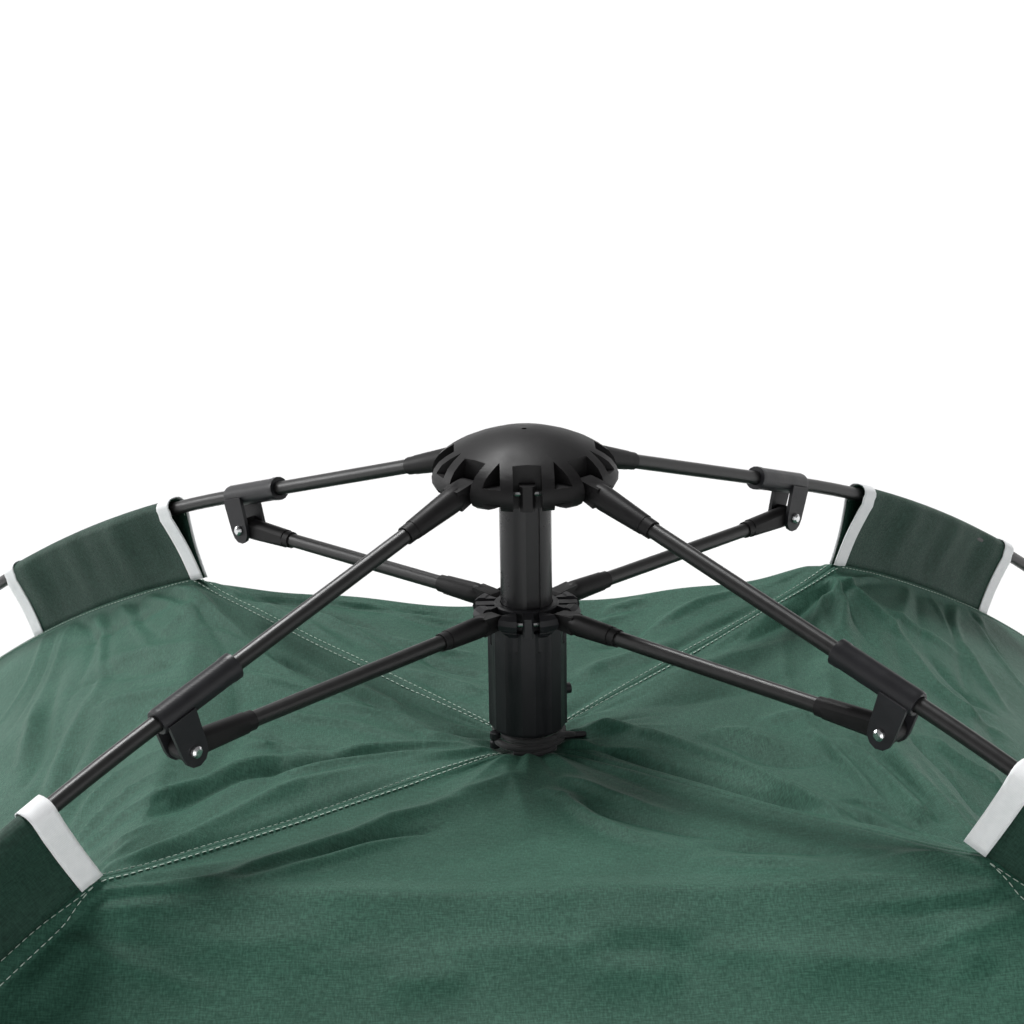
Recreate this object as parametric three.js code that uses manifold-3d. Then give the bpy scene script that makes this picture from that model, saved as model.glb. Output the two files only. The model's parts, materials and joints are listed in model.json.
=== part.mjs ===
// Hub-and-strut frame shelter: a top hub on a short tube, a runner that slides on the tube,
// four curved poles with struts, plug-in lower pole sections with feet, and a fabric canopy
// hung under the poles by sewn webs. Millimetres, +Z up, origin on the ground under the hub.
import * as THREE from 'three';
import { mergeVertices } from 'three/addons/utils/BufferGeometryUtils.js';
import Module from 'manifold-3d';

const wasm = await Module();
wasm.setup();

// ---- driving dimensions ----
const H = 1399;                 // height of the pole pivots in the top hub
const R1 = 44;                  // radius of the hub's ring wire, where the poles pivot
const R2 = 26;                  // radius of the runner's ring wire, where the struts pivot
const RUNNER_DROP = 81;         // runner pivots below the pole pivots when the frame is up
const PIN = [242, -85];         // strut pin, radius and height from the pole pivots
const ROD = 4.25;               // fibreglass rod radius
const GAP = 0.35;               // clearance between pieces that touch
const SLOPE0 = 17.5;            // pole slope at the hub, degrees below level
const T2 = [258, -67.5];        // end of the straight stretch
const ARC1 = { R: 1350, to: 29.5 };
const ARC2 = { R: 1600, to: 49 };
const FERRULE_LEN = 96;
const ARC3 = { R: 1600, to: 80.5 };
const WEB = 48;                 // canopy hangs this far under the pole axis
const SHOULDER = 304;           // radius where the ridge seam leaves the webs
const WEB_SPAN = { fl: [323, 517], fr: [314, 517], rl: [317, 517], rr: [323, 517] };    // first web, along the pole, by radius
const WEB_SLANT = 9;            // its inner edge leans towards the hub
const CLOTH = 1.4;              // thickness of the canopy solid
const HEM = 14;                 // hem height over the ground
const ARMS = { fl: 225, fr: 315, rl: 135, rr: 45 };

const PLASTIC = { color: 0x1d1d1f, roughness: 0.5, metalness: 0 };
const ROD_MAT = { color: 0x202022, roughness: 0.38, metalness: 0 };
const STEEL = { color: 0xc9cbce, roughness: 0.25, metalness: 1 };
const CLOTH_MAT = { color: 0x1f4a38, roughness: 0.72, metalness: 0 };
const CORD_MAT = { color: 0x161618, roughness: 0.8, metalness: 0 };

const D = Math.PI / 180;
const root = new THREE.Group();

// ---- helpers ----
function solid(geo) {
  const g = geo.index ? geo.toNonIndexed() : geo.clone();
  for (const a of Object.keys(g.attributes)) if (a !== 'position') g.deleteAttribute(a);
  const m = mergeVertices(g, 1e-4);
  return new wasm.Manifold(new wasm.Mesh({
    numProp: 3,
    vertProperties: new Float32Array(m.attributes.position.array),
    triVerts: new Uint32Array(m.index.array),
  }));
}
function back(man) {
  const m = man.getMesh();
  const g = new THREE.BufferGeometry();
  const n = m.numProp, v = new Float32Array((m.vertProperties.length / n) * 3);
  for (let i = 0; i < v.length / 3; i++) for (let k = 0; k < 3; k++) v[3 * i + k] = m.vertProperties[n * i + k];
  g.setAttribute('position', new THREE.BufferAttribute(v, 3));
  g.setIndex(new THREE.BufferAttribute(new Uint32Array(m.triVerts), 1));
  g.computeVertexNormals();
  return g;
}
const moved = (g, x, y, z) => g.clone().translate(x, y, z);
function lathe(profile, seg = 24) {           // profile [r, z], axis Z
  const closed = profile[0][0] > 1e-6 || profile[profile.length - 1][0] > 1e-6;
  const pts = profile.map(p => new THREE.Vector2(p[0], p[1]));
  if (closed) pts.push(pts[0].clone());
  // outward faces need the profile to run bottom to top on the outside
  let area = 0;
  for (let i = 0; i < pts.length; i++) { const a = pts[i], b = pts[(i + 1) % pts.length]; area += a.x * b.y - b.x * a.y; }
  if (area < 0) pts.reverse();
  return new THREE.LatheGeometry(pts, seg).rotateX(Math.PI / 2);
}
const rod = (r, len, seg = 12) => new THREE.CylinderGeometry(r, r, len, seg);   // axis Y, centred
function prism(pts, z0, z1) {                 // plan polygon [x, y], extruded in Z
  return new THREE.ExtrudeGeometry(new THREE.Shape(pts.map(p => new THREE.Vector2(p[0], p[1]))), { depth: z1 - z0, bevelEnabled: false }).translate(0, 0, z0);
}
function plate(pts, y0, y1) {                 // side polygon [x, z], extruded across Y
  return new THREE.ExtrudeGeometry(new THREE.Shape(pts.map(p => new THREE.Vector2(p[0], p[1]))), { depth: y1 - y0, bevelEnabled: false }).rotateX(Math.PI / 2).translate(0, y1, 0);
}
function along(geo, x, z, slopeDeg) {          // geometry built on +X, laid on a line that falls by slopeDeg
  return geo.clone().rotateY(slopeDeg * D).translate(x, 0, z);
}
const lathX = (profile, seg) => lathe(profile.map(p => [p[1], p[0]]), seg).rotateY(Math.PI / 2);  // profile [x, r], axis +X
function add(name, geo, mat, parent = root) {
  const m = new THREE.Mesh(geo, new THREE.MeshStandardMaterial(mat));
  m.name = name;
  parent.add(m);
  return m;
}
class Path extends THREE.Curve {               // a polyline taken as a curve with even steps
  constructor(pts) { super(); this.pts = pts; }
  getPoint(t, out = new THREE.Vector3()) {
    const n = this.pts.length - 1, f = Math.min(Math.max(t, 0), 1) * n, i = Math.min(Math.floor(f), n - 1), k = f - i;
    const a = this.pts[i], b = this.pts[i + 1];
    return out.set(a[0] + (b[0] - a[0]) * k, 0, a[1] + (b[1] - a[1]) * k);
  }
  getPointAt(t, out) { return this.getPoint(t, out); }
  getTangentAt(t, out = new THREE.Vector3()) {
    const e = 0.5 / (this.pts.length - 1), a = this.getPoint(t - e), b = this.getPoint(t + e);
    return out.copy(b).sub(a).normalize();
  }
  getTangent(t, out) { return this.getTangentAt(t, out); }
}
function circle(r, n) {
  return new THREE.Shape(Array.from({ length: n }, (_, i) => new THREE.Vector2(r * Math.cos(2 * Math.PI * (i + 0.5) / n), r * Math.sin(2 * Math.PI * (i + 0.5) / n))));
}
function tube(pts, r, n = 8) {
  return new THREE.ExtrudeGeometry(circle(r, n), { steps: pts.length - 1, extrudePath: new Path(pts), bevelEnabled: false });
}

// ---- pole line in the arm's plane: [radius, height over the pivots, slope] by length ----
const stretches = [];
{
  let x = R1, z = 0, s = 0, a = SLOPE0;
  const straight = Math.hypot(T2[0] - R1, T2[1]);
  const push = (kind, len, R) => {
    stretches.push({ kind, s0: s, len, x, z, a, R });
    if (kind === 'line') { x += len * Math.cos(a * D); z -= len * Math.sin(a * D); }
    else { const b = a + len / R / D; x += R * (Math.sin(b * D) - Math.sin(a * D)); z -= R * (Math.cos(a * D) - Math.cos(b * D)); a = b; }
    s += len;
  };
  push('line', straight);
  push('arc', (ARC1.to - a) * D * ARC1.R, ARC1.R);
  push('arc', (ARC2.to - a) * D * ARC2.R, ARC2.R);
  push('line', FERRULE_LEN);
  push('arc', (ARC3.to - a) * D * ARC3.R, ARC3.R);
}
const LENGTH = stretches.reduce((t, p) => t + p.len, 0);
function pole(s) {
  let p = stretches[0];
  for (const q of stretches) if (s >= q.s0) p = q;
  const d = s - p.s0;
  if (p.kind === 'line') return { x: p.x + d * Math.cos(p.a * D), z: p.z - d * Math.sin(p.a * D), a: p.a };
  const b = p.a + d / p.R / D;
  return { x: p.x + p.R * (Math.sin(b * D) - Math.sin(p.a * D)), z: p.z - p.R * (Math.cos(p.a * D) - Math.cos(b * D)), a: b };
}
function off(s, d) { const p = pole(s); return [p.x - d * Math.sin(p.a * D), p.z - d * Math.cos(p.a * D)]; }
function lengthAtX(x) { let a = 0, b = LENGTH; for (let i = 0; i < 50; i++) { const m = (a + b) / 2; if (pole(m).x < x) a = m; else b = m; } return (a + b) / 2; }
const S_FERRULE = stretches[3].s0;             // straight stretch that carries the ferrule
function run(s0, s1, step, d = 0) {
  const n = Math.max(1, Math.round((s1 - s0) / step));
  return Array.from({ length: n + 1 }, (_, i) => { const q = off(s0 + (s1 - s0) * i / n, d); return [q[0], q[1] + H]; });
}

// ---- top hub ----
{
  const prof = [[0, 24], [10, 23.4], [20, 21.5], [30, 18.2], [38, 14.7], [43.5, 11.4], [47.6, 8.2], [50.3, 4.4], [51.8, 0.2], [51.6, -3.6], [49.6, -7.2], [46, -9.4], [42, -9.8],
    [34.2, -9.8], [34.2, 7.0], [31.5, 9.6], [25, 12.4], [19.5, 13.6], [19.5, 2], [14.9, 2], [14.9, 12.2], [0, 12.2]];
  let hub = solid(lathe(prof, 40));
  const cut = [];
  for (let k = 0; k < 8; k++) {
    const a = 45 * k * D;
    cut.push(solid(prism([[38.6, -7.7], [60, -7.7], [60, 7.7], [38.6, 7.7]], -30, 40).rotateZ(a)));
    const w = [[37.6, 0], [60, -9.2], [60, 9.2]];
    cut.push(solid(prism(w, 3.6, 40).rotateZ(a + 22.5 * D)));
    cut.push(solid(prism(w, -30, -4.6).rotateZ(a + 22.5 * D)));
  }
  for (const c of cut) hub = hub.subtract(c);
  for (let k = 0; k < 4; k++) {                // centre rib over the wire in each spare slot
    hub = hub.add(solid(prism([[37, -4.2], [44.6, -4.2], [46.4, -2.6], [46.4, 2.6], [44.6, 4.2], [37, 4.2]], -9.6, 4.4).rotateZ(90 * k * D)));
  }
  hub = hub.subtract(solid(new THREE.TorusGeometry(R1, 1.25 + GAP, 6, 40)));
  hub = hub.subtract(solid(rod(1.5, 40, 10).rotateX(Math.PI / 2).translate(0, 0, 20)));
  add('top_hub', back(hub).translate(0, 0, H), PLASTIC);
  add('hub_ring_wire', new THREE.TorusGeometry(R1, 1.25, 6, 40).translate(0, 0, H), STEEL);
  let t = solid(lathe([[12, 11.6], [14.5, 11.6], [14.5, -145], [12, -145]], 32));
  const key = new THREE.BoxGeometry(4.0, 8.0, 128).translate(14.7, 0, -66);
  t = t.subtract(solid(key.rotateZ(-75 * D)));
  add('centre_tube', back(t).translate(0, 0, H), { color: 0x18181a, roughness: 0.35, metalness: 0 });
}

// ---- runner ----
{
  const z0 = H - RUNNER_DROP;
  const star = [];
  for (let k = 0; k < 16; k++) {
    const r = k % 2 ? 21.9 : 22.5, a0 = (22.5 * k - 11.25) * D;
    for (const f of [0.06, 0.94]) star.push([r * Math.cos(a0 + f * 22.5 * D), r * Math.sin(a0 + f * 22.5 * D)]);
  }
  let b = solid(prism(star, -68, -7));
  b = b.add(solid(lathe([[0, 4.6], [17.6, 4.6], [18.4, 3.8], [18.4, -12], [0, -12]], 32)));
  b = b.add(solid(lathe([[0, -67.5], [21.6, -67.5], [20.6, -70], [0, -70]], 32)));
  let ring = solid(new THREE.TorusGeometry(R2, 5.0, 10, 32));
  ring = ring.add(solid(lathe([[18, 4.2], [26, 4.2], [27.4, 3], [27.4, -5.6], [22, -10], [18, -10]], 32)));
  for (let k = 0; k < 8; k++) ring = ring.subtract(solid(prism([[10, -6.4], [40, -6.4], [40, 6.4], [10, 6.4]], -20, 20).rotateZ(45 * k * D)));
  b = b.add(ring);
  for (let k = 0; k < 4; k++) {
    b = b.add(solid(prism([[15.5, -3], [27.6, -3], [28.6, -2], [28.6, 2], [27.6, 3], [15.5, 3]], -7.2, 4.0).rotateZ(90 * k * D)));
    for (const y of [-7.4, 7.4]) b = b.subtract(solid(new THREE.BoxGeometry(6, 3.6, 9).translate(23, y, -14).rotateZ(90 * k * D)));
  }
  b = b.subtract(solid(new THREE.TorusGeometry(R2, 1.1 + GAP, 6, 32)));
  b = b.subtract(solid(rod(14.5 + 0.45, 200, 32).rotateX(Math.PI / 2)));
  const knob = rod(3.2, 6, 12).rotateZ(Math.PI / 2).translate(23, 0, -52).rotateZ(20 * D);   // small side lug
  b = b.add(solid(knob));
  b = b.subtract(solid(rod(14.5 + 0.45, 200, 32).rotateX(Math.PI / 2)));
  add('runner', back(b).translate(0, 0, z0), PLASTIC);
  add('runner_ring_wire', new THREE.TorusGeometry(R2, 1.1, 6, 32).translate(0, 0, z0), STEEL);
  // tie that holds the canopy's apex under the runner
  add('tie_cord', new THREE.TorusGeometry(9.0, 2.4, 6, 16).translate(0, 0, H - 155.4), CORD_MAT);
  add('cord_lock', lathe([[0, 4.6], [3.2, 4.6], [3.2, 0.9], [2.5, 0.5], [2.5, -0.5], [3.2, -0.9], [3.2, -4.6], [0, -4.6]], 10).translate(-19, -9, H - 156.4), PLASTIC);
  add('toggle_bar', new THREE.CapsuleGeometry(2.0, 11.5, 2, 8).rotateZ(Math.PI / 2).rotateZ(8 * D).translate(25.5, -7, H - 155.6), PLASTIC);
}

// ---- one arm, built on +X ----
const strutLen = Math.hypot(PIN[0] - R2, PIN[1] + RUNNER_DROP);
const strutSlope = Math.atan2(-(PIN[1] + RUNNER_DROP), PIN[0] - R2) / D;
function arm(tag, az) {
  const g = new THREE.Group();
  g.rotation.z = az * D;
  root.add(g);
  // socket on the hub wire
  {
    let s = solid(lathX([[7, 0], [7, 5.2], [10, 6.6], [16, 6.9], [44, 5.6], [44, 5.3], [50, 5.2], [50, 0]], 16));
    s = s.add(solid(rod(4.8, 11, 14)));
    s = s.add(solid(plate([[0, -4.8], [13, -6.0], [13, 6.0], [0, 4.8]], -5.5, 5.5)));
    s = s.subtract(solid(rod(1.75, 30, 8)));
    s = s.subtract(solid(lathX([[22, 0], [22, ROD + GAP], [70, ROD + GAP], [70, 0]], 12)));
    add('pole_socket_' + tag, along(back(s), R1, H, SLOPE0), PLASTIC, g);
  }
  add('pole_upper_' + tag, tube(run(24, S_FERRULE + 46, 70), ROD), ROD_MAT, g);
  // T joint: sleeve with two ears
  const t2 = Math.hypot(T2[0] - R1, T2[1]);
  const px = (PIN[0] - R1) * Math.cos(SLOPE0 * D) - PIN[1] * Math.sin(SLOPE0 * D);   // pin along the pole
  const pz = (PIN[0] - R1) * Math.sin(SLOPE0 * D) + PIN[1] * Math.cos(SLOPE0 * D);   // below the axis, negative
  {
    let s = solid(lathX([[t2 - 50.5, 0], [t2 - 50.5, 7.3], [t2 - 46.5, 7.3], [t2 - 45.5, 6.95], [t2 - 2, 6.95], [t2, 6.4], [t2, 0]], 16));
    const ear = [[px - 8.4, -1], [px + 8.6, -1], [px + 7.6, pz], [px + 6.6, pz - 4.2], [px + 4.2, pz - 7.2], [px, pz - 8.6], [px - 4.0, pz - 7.4], [px - 6.6, pz - 4.4], [px - 7.6, pz]];
    for (const y of [-8.1, 5.7]) s = s.add(solid(plate(ear, y, y + 2.4)));
    s = s.subtract(solid(lathX([[0, 0], [0, ROD + GAP], [400, ROD + GAP], [400, 0]], 12)));
    s = s.subtract(solid(rod(2.1, 40, 8).translate(px, 0, pz)));
    // the stretch between the ears is clear of the strut's end
    s = s.subtract(solid(new THREE.BoxGeometry(44, 11.4, 30).translate(px, 0, -7.4 - 15)));
    add('t_joint_' + tag, along(back(s), R1, H, SLOPE0), PLASTIC, g);
    const rv = [[0, 0], [1.7, 0], [1.7, 2.7], [3.4, 2.7], [3.1, 3.9], [1.9, 4.8], [0, 5.0]];
    for (const [nm, sg] of [['a', -1], ['b', 1]]) {
      const r = lathe(rv, 10).rotateX(sg < 0 ? Math.PI / 2 : -Math.PI / 2).translate(px, sg * 5.8, pz);
      add('rivet_' + nm + '_' + tag, along(r, R1, H, SLOPE0), STEEL, g);
    }
  }
  // strut
  const zr = H - RUNNER_DROP;
  {
    let s = solid(lathX([[8, 0], [8, 4.6], [11, 5.8], [15, 6.2], [37, 5.6], [37, 5.2], [42, 5.1], [42, 0]], 14));
    s = s.add(solid(rod(4.2, 9, 12)));
    s = s.add(solid(plate([[0, -4.2], [12, -5.2], [12, 5.2], [0, 4.2]], -4.5, 4.5)));
    s = s.subtract(solid(rod(1.6, 30, 8)));
    s = s.subtract(solid(lathX([[20, 0], [20, ROD + GAP], [70, ROD + GAP], [70, 0]], 12)));
    add('strut_eye_' + tag, along(back(s), R2, zr, strutSlope), PLASTIC, g);
    add('strut_rod_' + tag, along(lathX([[22, 0], [22, ROD], [strutLen - 23, ROD], [strutLen - 23, 0]], 8), R2, zr, strutSlope), ROD_MAT, g);
    let e = solid(lathX([[-42, 0], [-42, 5.2], [-37, 5.3], [-37, 5.7], [-8, 6.6], [0, 6.6], [0, 0]], 14));
    e = e.add(solid(rod(6.6, 13, 16)));
    e = e.intersect(solid(new THREE.BoxGeometry(90, 10.4, 40)));
    e = e.subtract(solid(rod(2.1, 30, 8)));
    e = e.subtract(solid(lathX([[-70, 0], [-70, ROD + GAP], [-21, ROD + GAP], [-21, 0]], 12)));
    add('strut_end_' + tag, along(along(back(e), strutLen, 0, 0), R2, zr, strutSlope), PLASTIC, g);
  }
  // ferrule, lower section and foot
  const f = pole(S_FERRULE);
  add('ferrule_' + tag, along(lathX([[0, ROD + GAP], [0, 5.5], [FERRULE_LEN, 5.5], [FERRULE_LEN, ROD + GAP]], 14), f.x, f.z + H, f.a), { color: 0x55585c, roughness: 0.4, metalness: 1 }, g);
  add('pole_lower_' + tag, tube(run(S_FERRULE + 47.5, LENGTH, 70), ROD), ROD_MAT, g);
  const end = pole(LENGTH);
  {
    const ex = end.x, ez = end.z + H;
    let s = solid(lathe([[0, 0], [11, 0], [11, 4], [8.2, 9], [7.2, 34], [0, 34]], 14).translate(ex - 0.2, 0, 0));
    s = s.subtract(solid(along(lathX([[-60, 0], [-60, ROD + 1.1], [0.6, ROD + 1.1], [0.6, 0]], 12), ex, ez, end.a)));
    add('foot_' + tag, back(s), PLASTIC, g);
  }
  // first web, between the pole and the ridge seam
  {
    const a = lengthAtX(WEB_SPAN[tag][0]), b = lengthAtX(WEB_SPAN[tag][1]);
    const top = run(a, b, 26, ROD + 0.6), low = run(a - WEB_SLANT, b, 26, WEB - 1.0).reverse();
    add('web_' + tag, plate(top.concat(low), -1.1, 1.1), CLOTH_MAT, g);
  }
  add('canopy_' + tag, canopy(), CLOTH_MAT, g);
}

// ---- canopy quarter, centred on its ridge, built on +X ----
function ridge() {
  const pts = [[13.5, -164.6], [32, -160.8], [80, -156.5], [130, -152.5], [180, -148.6], [235, -142.6], [275, -138.6]];
  const s0 = lengthAtX(SHOULDER + WEB * Math.sin(19 * D));
  const n = 13;
  for (let i = 0; i <= n; i++) {
    const s = s0 + (LENGTH - s0) * i / n;
    const t = Math.max(0, (i / n - 0.6) / 0.4);
    pts.push(off(s, WEB - 22 * t * t));
  }
  // stop at the hem
  const out = [];
  for (const p of pts) { if (p[1] + H > HEM) out.push(p); else { const q = out[out.length - 1], k = (q[1] + H - HEM) / (q[1] - p[1]); out.push([q[0] + (p[0] - q[0]) * k, HEM - H]); break; } }
  return out;
}
function sagAt(r, z) {                          // how far the middle of a face lies below and inside the straight line between ridges
  const brow = Math.exp(-Math.pow((r - 330) / 190, 2));
  const wall = Math.min(1, Math.max(0, (r - 420) / 400)) * Math.min(1, Math.max(0, (z + H - HEM) / 500));
  return { down: 17 * brow * Math.min(1, r / 120), inward: 26 * wall };
}
function canopy() {
  const rid = ridge(), nu = 3, rows = rid.length, cols = 2 * nu + 1;
  const surf = (shrink) => rid.map(([r, z]) => {
    const row = [];
    for (let j = -nu; j <= nu; j++) {
      const sg = Math.sign(j) || 1, u = Math.abs(j) / nu;
      const c = r / Math.SQRT2, s = sagAt(r, z), w = Math.sin(u * Math.PI / 2) ** 1.3;
      // face axes: outward n at sg*45 degrees from +X, lateral t towards the middle of the face
      const lat = Math.max(c * (1 - u), 0.2), outw = c - s.inward * w;
      const nx = Math.cos(sg * 45 * D), ny = Math.sin(sg * 45 * D), tx = Math.SQRT1_2, ty = -sg * Math.SQRT1_2;
      row.push(new THREE.Vector3(nx * outw + tx * lat, ny * outw + ty * lat, z + H - s.down * w));
    }
    return row;
  });
  const top = surf();
  // inner surface: offset along averaged normals
  const inner = top.map((row, i) => row.map((p, j) => {
    const du = top[i][Math.min(j + 1, cols - 1)].clone().sub(top[i][Math.max(j - 1, 0)]);
    const dv = top[Math.min(i + 1, rows - 1)][j].clone().sub(top[Math.max(i - 1, 0)][j]);
    const nrm = dv.cross(du).normalize();
    if (nrm.z < 0 && i < rows / 2) nrm.negate();
    // keep mid-face edges in their own plane so neighbours don't meet
    if (j === 0 || j === cols - 1) { const sg = j === 0 ? -1 : 1, tx = Math.SQRT1_2, ty = -sg * Math.SQRT1_2, k = nrm.x * tx + nrm.y * ty; nrm.x -= k * tx; nrm.y -= k * ty; nrm.normalize(); }
    if (i === rows - 1) { nrm.z = 0; nrm.normalize(); }
    const q = p.clone().addScaledVector(nrm, -CLOTH);
    return q;
  }));
  const pos = [], idx = [];
  const id = (layer, i, j) => layer * rows * cols + i * cols + j;
  for (const layer of [top, inner]) for (const row of layer) for (const p of row) pos.push(p.x, p.y, p.z);
  const quad = (a, b, c, d) => idx.push(a, b, c, a, c, d);
  for (let i = 0; i < rows - 1; i++) for (let j = 0; j < cols - 1; j++) {
    quad(id(0, i, j), id(0, i + 1, j), id(0, i + 1, j + 1), id(0, i, j + 1));
    quad(id(1, i, j), id(1, i, j + 1), id(1, i + 1, j + 1), id(1, i + 1, j));
  }
  for (let j = 0; j < cols - 1; j++) {
    quad(id(0, 0, j), id(0, 0, j + 1), id(1, 0, j + 1), id(1, 0, j));
    quad(id(0, rows - 1, j), id(1, rows - 1, j), id(1, rows - 1, j + 1), id(0, rows - 1, j + 1));
  }
  for (let i = 0; i < rows - 1; i++) {
    quad(id(0, i, 0), id(1, i, 0), id(1, i + 1, 0), id(0, i + 1, 0));
    quad(id(0, i, cols - 1), id(0, i + 1, cols - 1), id(1, i + 1, cols - 1), id(1, i, cols - 1));
  }
  const g = new THREE.BufferGeometry();
  g.setAttribute('position', new THREE.Float32BufferAttribute(pos, 3));
  g.setIndex(idx);
  // faces point out
  let vol = 0;
  for (let k = 0; k < idx.length; k += 3) {
    const [a, b, c] = [0, 1, 2].map(m => new THREE.Vector3(pos[3 * idx[k + m]], pos[3 * idx[k + m] + 1], pos[3 * idx[k + m] + 2]));
    vol += a.dot(b.cross(c));
  }
  if (vol < 0) { for (let k = 0; k < idx.length; k += 3) [idx[k + 1], idx[k + 2]] = [idx[k + 2], idx[k + 1]]; g.setIndex(idx); }
  g.computeVertexNormals();
  return g;
}

for (const [tag, az] of Object.entries(ARMS)) arm(tag, az);

export default root;
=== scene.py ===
# Dome shelter with a hub-and-strut frame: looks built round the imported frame. Metres.
import json
import math
import bpy
import bmesh
import numpy as np
from mathutils import Vector, Matrix

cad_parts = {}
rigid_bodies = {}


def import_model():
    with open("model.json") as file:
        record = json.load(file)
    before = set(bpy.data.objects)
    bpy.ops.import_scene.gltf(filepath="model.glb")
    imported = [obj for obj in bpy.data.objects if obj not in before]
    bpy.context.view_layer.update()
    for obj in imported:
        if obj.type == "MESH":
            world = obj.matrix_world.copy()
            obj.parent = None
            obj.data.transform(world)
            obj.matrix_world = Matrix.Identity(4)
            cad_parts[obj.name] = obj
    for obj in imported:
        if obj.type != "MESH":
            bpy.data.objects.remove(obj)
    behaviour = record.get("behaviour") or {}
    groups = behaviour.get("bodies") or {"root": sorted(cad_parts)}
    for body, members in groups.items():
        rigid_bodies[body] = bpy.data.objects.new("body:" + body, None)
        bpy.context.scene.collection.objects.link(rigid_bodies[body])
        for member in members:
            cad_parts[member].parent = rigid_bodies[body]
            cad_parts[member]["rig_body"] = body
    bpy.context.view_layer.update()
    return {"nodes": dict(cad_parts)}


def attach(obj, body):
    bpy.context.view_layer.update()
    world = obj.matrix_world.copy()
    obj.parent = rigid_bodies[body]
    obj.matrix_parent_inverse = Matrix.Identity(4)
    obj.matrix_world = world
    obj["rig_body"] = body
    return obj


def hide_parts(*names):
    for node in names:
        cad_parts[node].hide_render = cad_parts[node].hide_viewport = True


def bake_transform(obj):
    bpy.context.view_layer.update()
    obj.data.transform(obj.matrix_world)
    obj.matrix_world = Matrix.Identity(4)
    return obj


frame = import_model()
D = math.pi / 180
SC = bpy.context.scene

# ------------------------------------------------------------------ camera
def make_camera():
    az, el, roll = 1.306 * D, 17.679 * D, -0.877 * D
    pos = Vector((-0.03297, -1.12413, 1.73353))
    fw = Vector((math.sin(az) * math.cos(el), math.cos(az) * math.cos(el), -math.sin(el)))
    rt = Vector((math.cos(az), -math.sin(az), 0))
    up = rt.cross(fw)
    r2 = math.cos(roll) * rt + math.sin(roll) * up
    u2 = -math.sin(roll) * rt + math.cos(roll) * up
    cam = bpy.data.objects.new("camera", bpy.data.cameras.new("camera"))
    SC.collection.objects.link(cam)
    m = Matrix.Identity(4)
    for i in range(3):
        m[i][0], m[i][1], m[i][2], m[i][3] = r2[i], u2[i], -fw[i], pos[i]
    cam.matrix_world = m
    cam.data.sensor_width = 36
    cam.data.lens = 2132.4 / 1024 * 36
    cam.data.clip_start, cam.data.clip_end = 0.02, 400
    SC.camera = cam
make_camera()

# ------------------------------------------------------------------ dimensions
H = 1.399               # pole pivots over the ground
R1, R2 = 0.044, 0.026   # ring wire radii, hub and runner
ROD = 0.00425
WEB = 0.048             # ridge seam under the pole axis
HEM = 0.014
ARMS = {"fl": 225, "fr": 315, "rl": 135, "rr": 45}
FACES = {"front": 270, "right": 0, "rear": 90, "left": 180}

STRETCH = []
def _pole_line():
    x, z, s, a = R1, 0.0, 0.0, 17.5
    def push(kind, length, radius=None):
        nonlocal x, z, s, a
        STRETCH.append((kind, s, length, x, z, a, radius))
        if kind == "line":
            x += length * math.cos(a * D); z -= length * math.sin(a * D)
        else:
            b = a + length / radius / D
            x += radius * (math.sin(b * D) - math.sin(a * D)); z -= radius * (math.cos(a * D) - math.cos(b * D)); a = b
        s += length
    push("line", math.hypot(0.258 - 0.044, 0.0675))
    push("arc", (29.5 - a) * D * 1.35, 1.35)
    push("arc", (49 - a) * D * 1.6, 1.6)
    push("line", 0.096)
    push("arc", (80.5 - a) * D * 1.6, 1.6)
    return s
LENGTH = _pole_line()
def pole(s):
    """Radius, height over the pivots and slope of the pole's axis at length s."""
    p = STRETCH[0]
    for q in STRETCH:
        if s >= q[1]: p = q
    kind, s0, _, x, z, a, R = p
    d = s - s0
    if kind == "line":
        return x + d * math.cos(a * D), z - d * math.sin(a * D), a
    b = a + d / R / D
    return x + R * (math.sin(b * D) - math.sin(a * D)), z - R * (math.cos(a * D) - math.cos(b * D)), b
def off(s, d):
    x, z, a = pole(s)
    return x - d * math.sin(a * D), z - d * math.cos(a * D)
def len_at(x):
    a, b = 0.0, LENGTH
    for _ in range(50):
        m = (a + b) / 2
        if pole(m)[0] < x: a = m
        else: b = m
    return (a + b) / 2

# ------------------------------------------------------------------ materials
def nodes_of(name):
    m = bpy.data.materials.new(name)
    m.use_nodes = True
    nt = m.node_tree
    b = nt.nodes["Principled BSDF"]
    return m, nt, b
def N(nt, kind, **kw):
    n = nt.nodes.new(kind)
    for k, v in kw.items():
        if k in n.inputs: n.inputs[k].default_value = v
        else: setattr(n, k, v)
    return n
def link(nt, a, b): nt.links.new(a, b)
def mapping(nt, src, scale):
    m = nt.nodes.new("ShaderNodeMapping")
    m.inputs["Scale"].default_value = scale
    link(nt, src, m.inputs["Vector"])
    return m.outputs["Vector"]
def math_node(nt, op, a, b):
    n = nt.nodes.new("ShaderNodeMath"); n.operation = op
    for i, v in enumerate((a, b)):
        if isinstance(v, (int, float)): n.inputs[i].default_value = v
        else: link(nt, v, n.inputs[i])
    return n.outputs[0]
def ramp(nt, fac, stops):
    r = nt.nodes.new("ShaderNodeValToRGB")
    cr = r.color_ramp
    while len(cr.elements) > len(stops): cr.elements.remove(cr.elements[-1])
    while len(cr.elements) < len(stops): cr.elements.new(0.5)
    for e, (p, c) in zip(cr.elements, stops):
        e.position = p
        e.color = (*c, 1) if len(c) == 3 else c
    link(nt, fac, r.inputs["Fac"])
    return r.outputs["Color"]
def bump(nt, height, strength, dist, normal=None):
    b = nt.nodes.new("ShaderNodeBump")
    b.inputs["Strength"].default_value = strength
    b.inputs["Distance"].default_value = dist
    link(nt, height, b.inputs["Height"])
    if normal is not None: link(nt, normal, b.inputs["Normal"])
    return b.outputs["Normal"]

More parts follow.
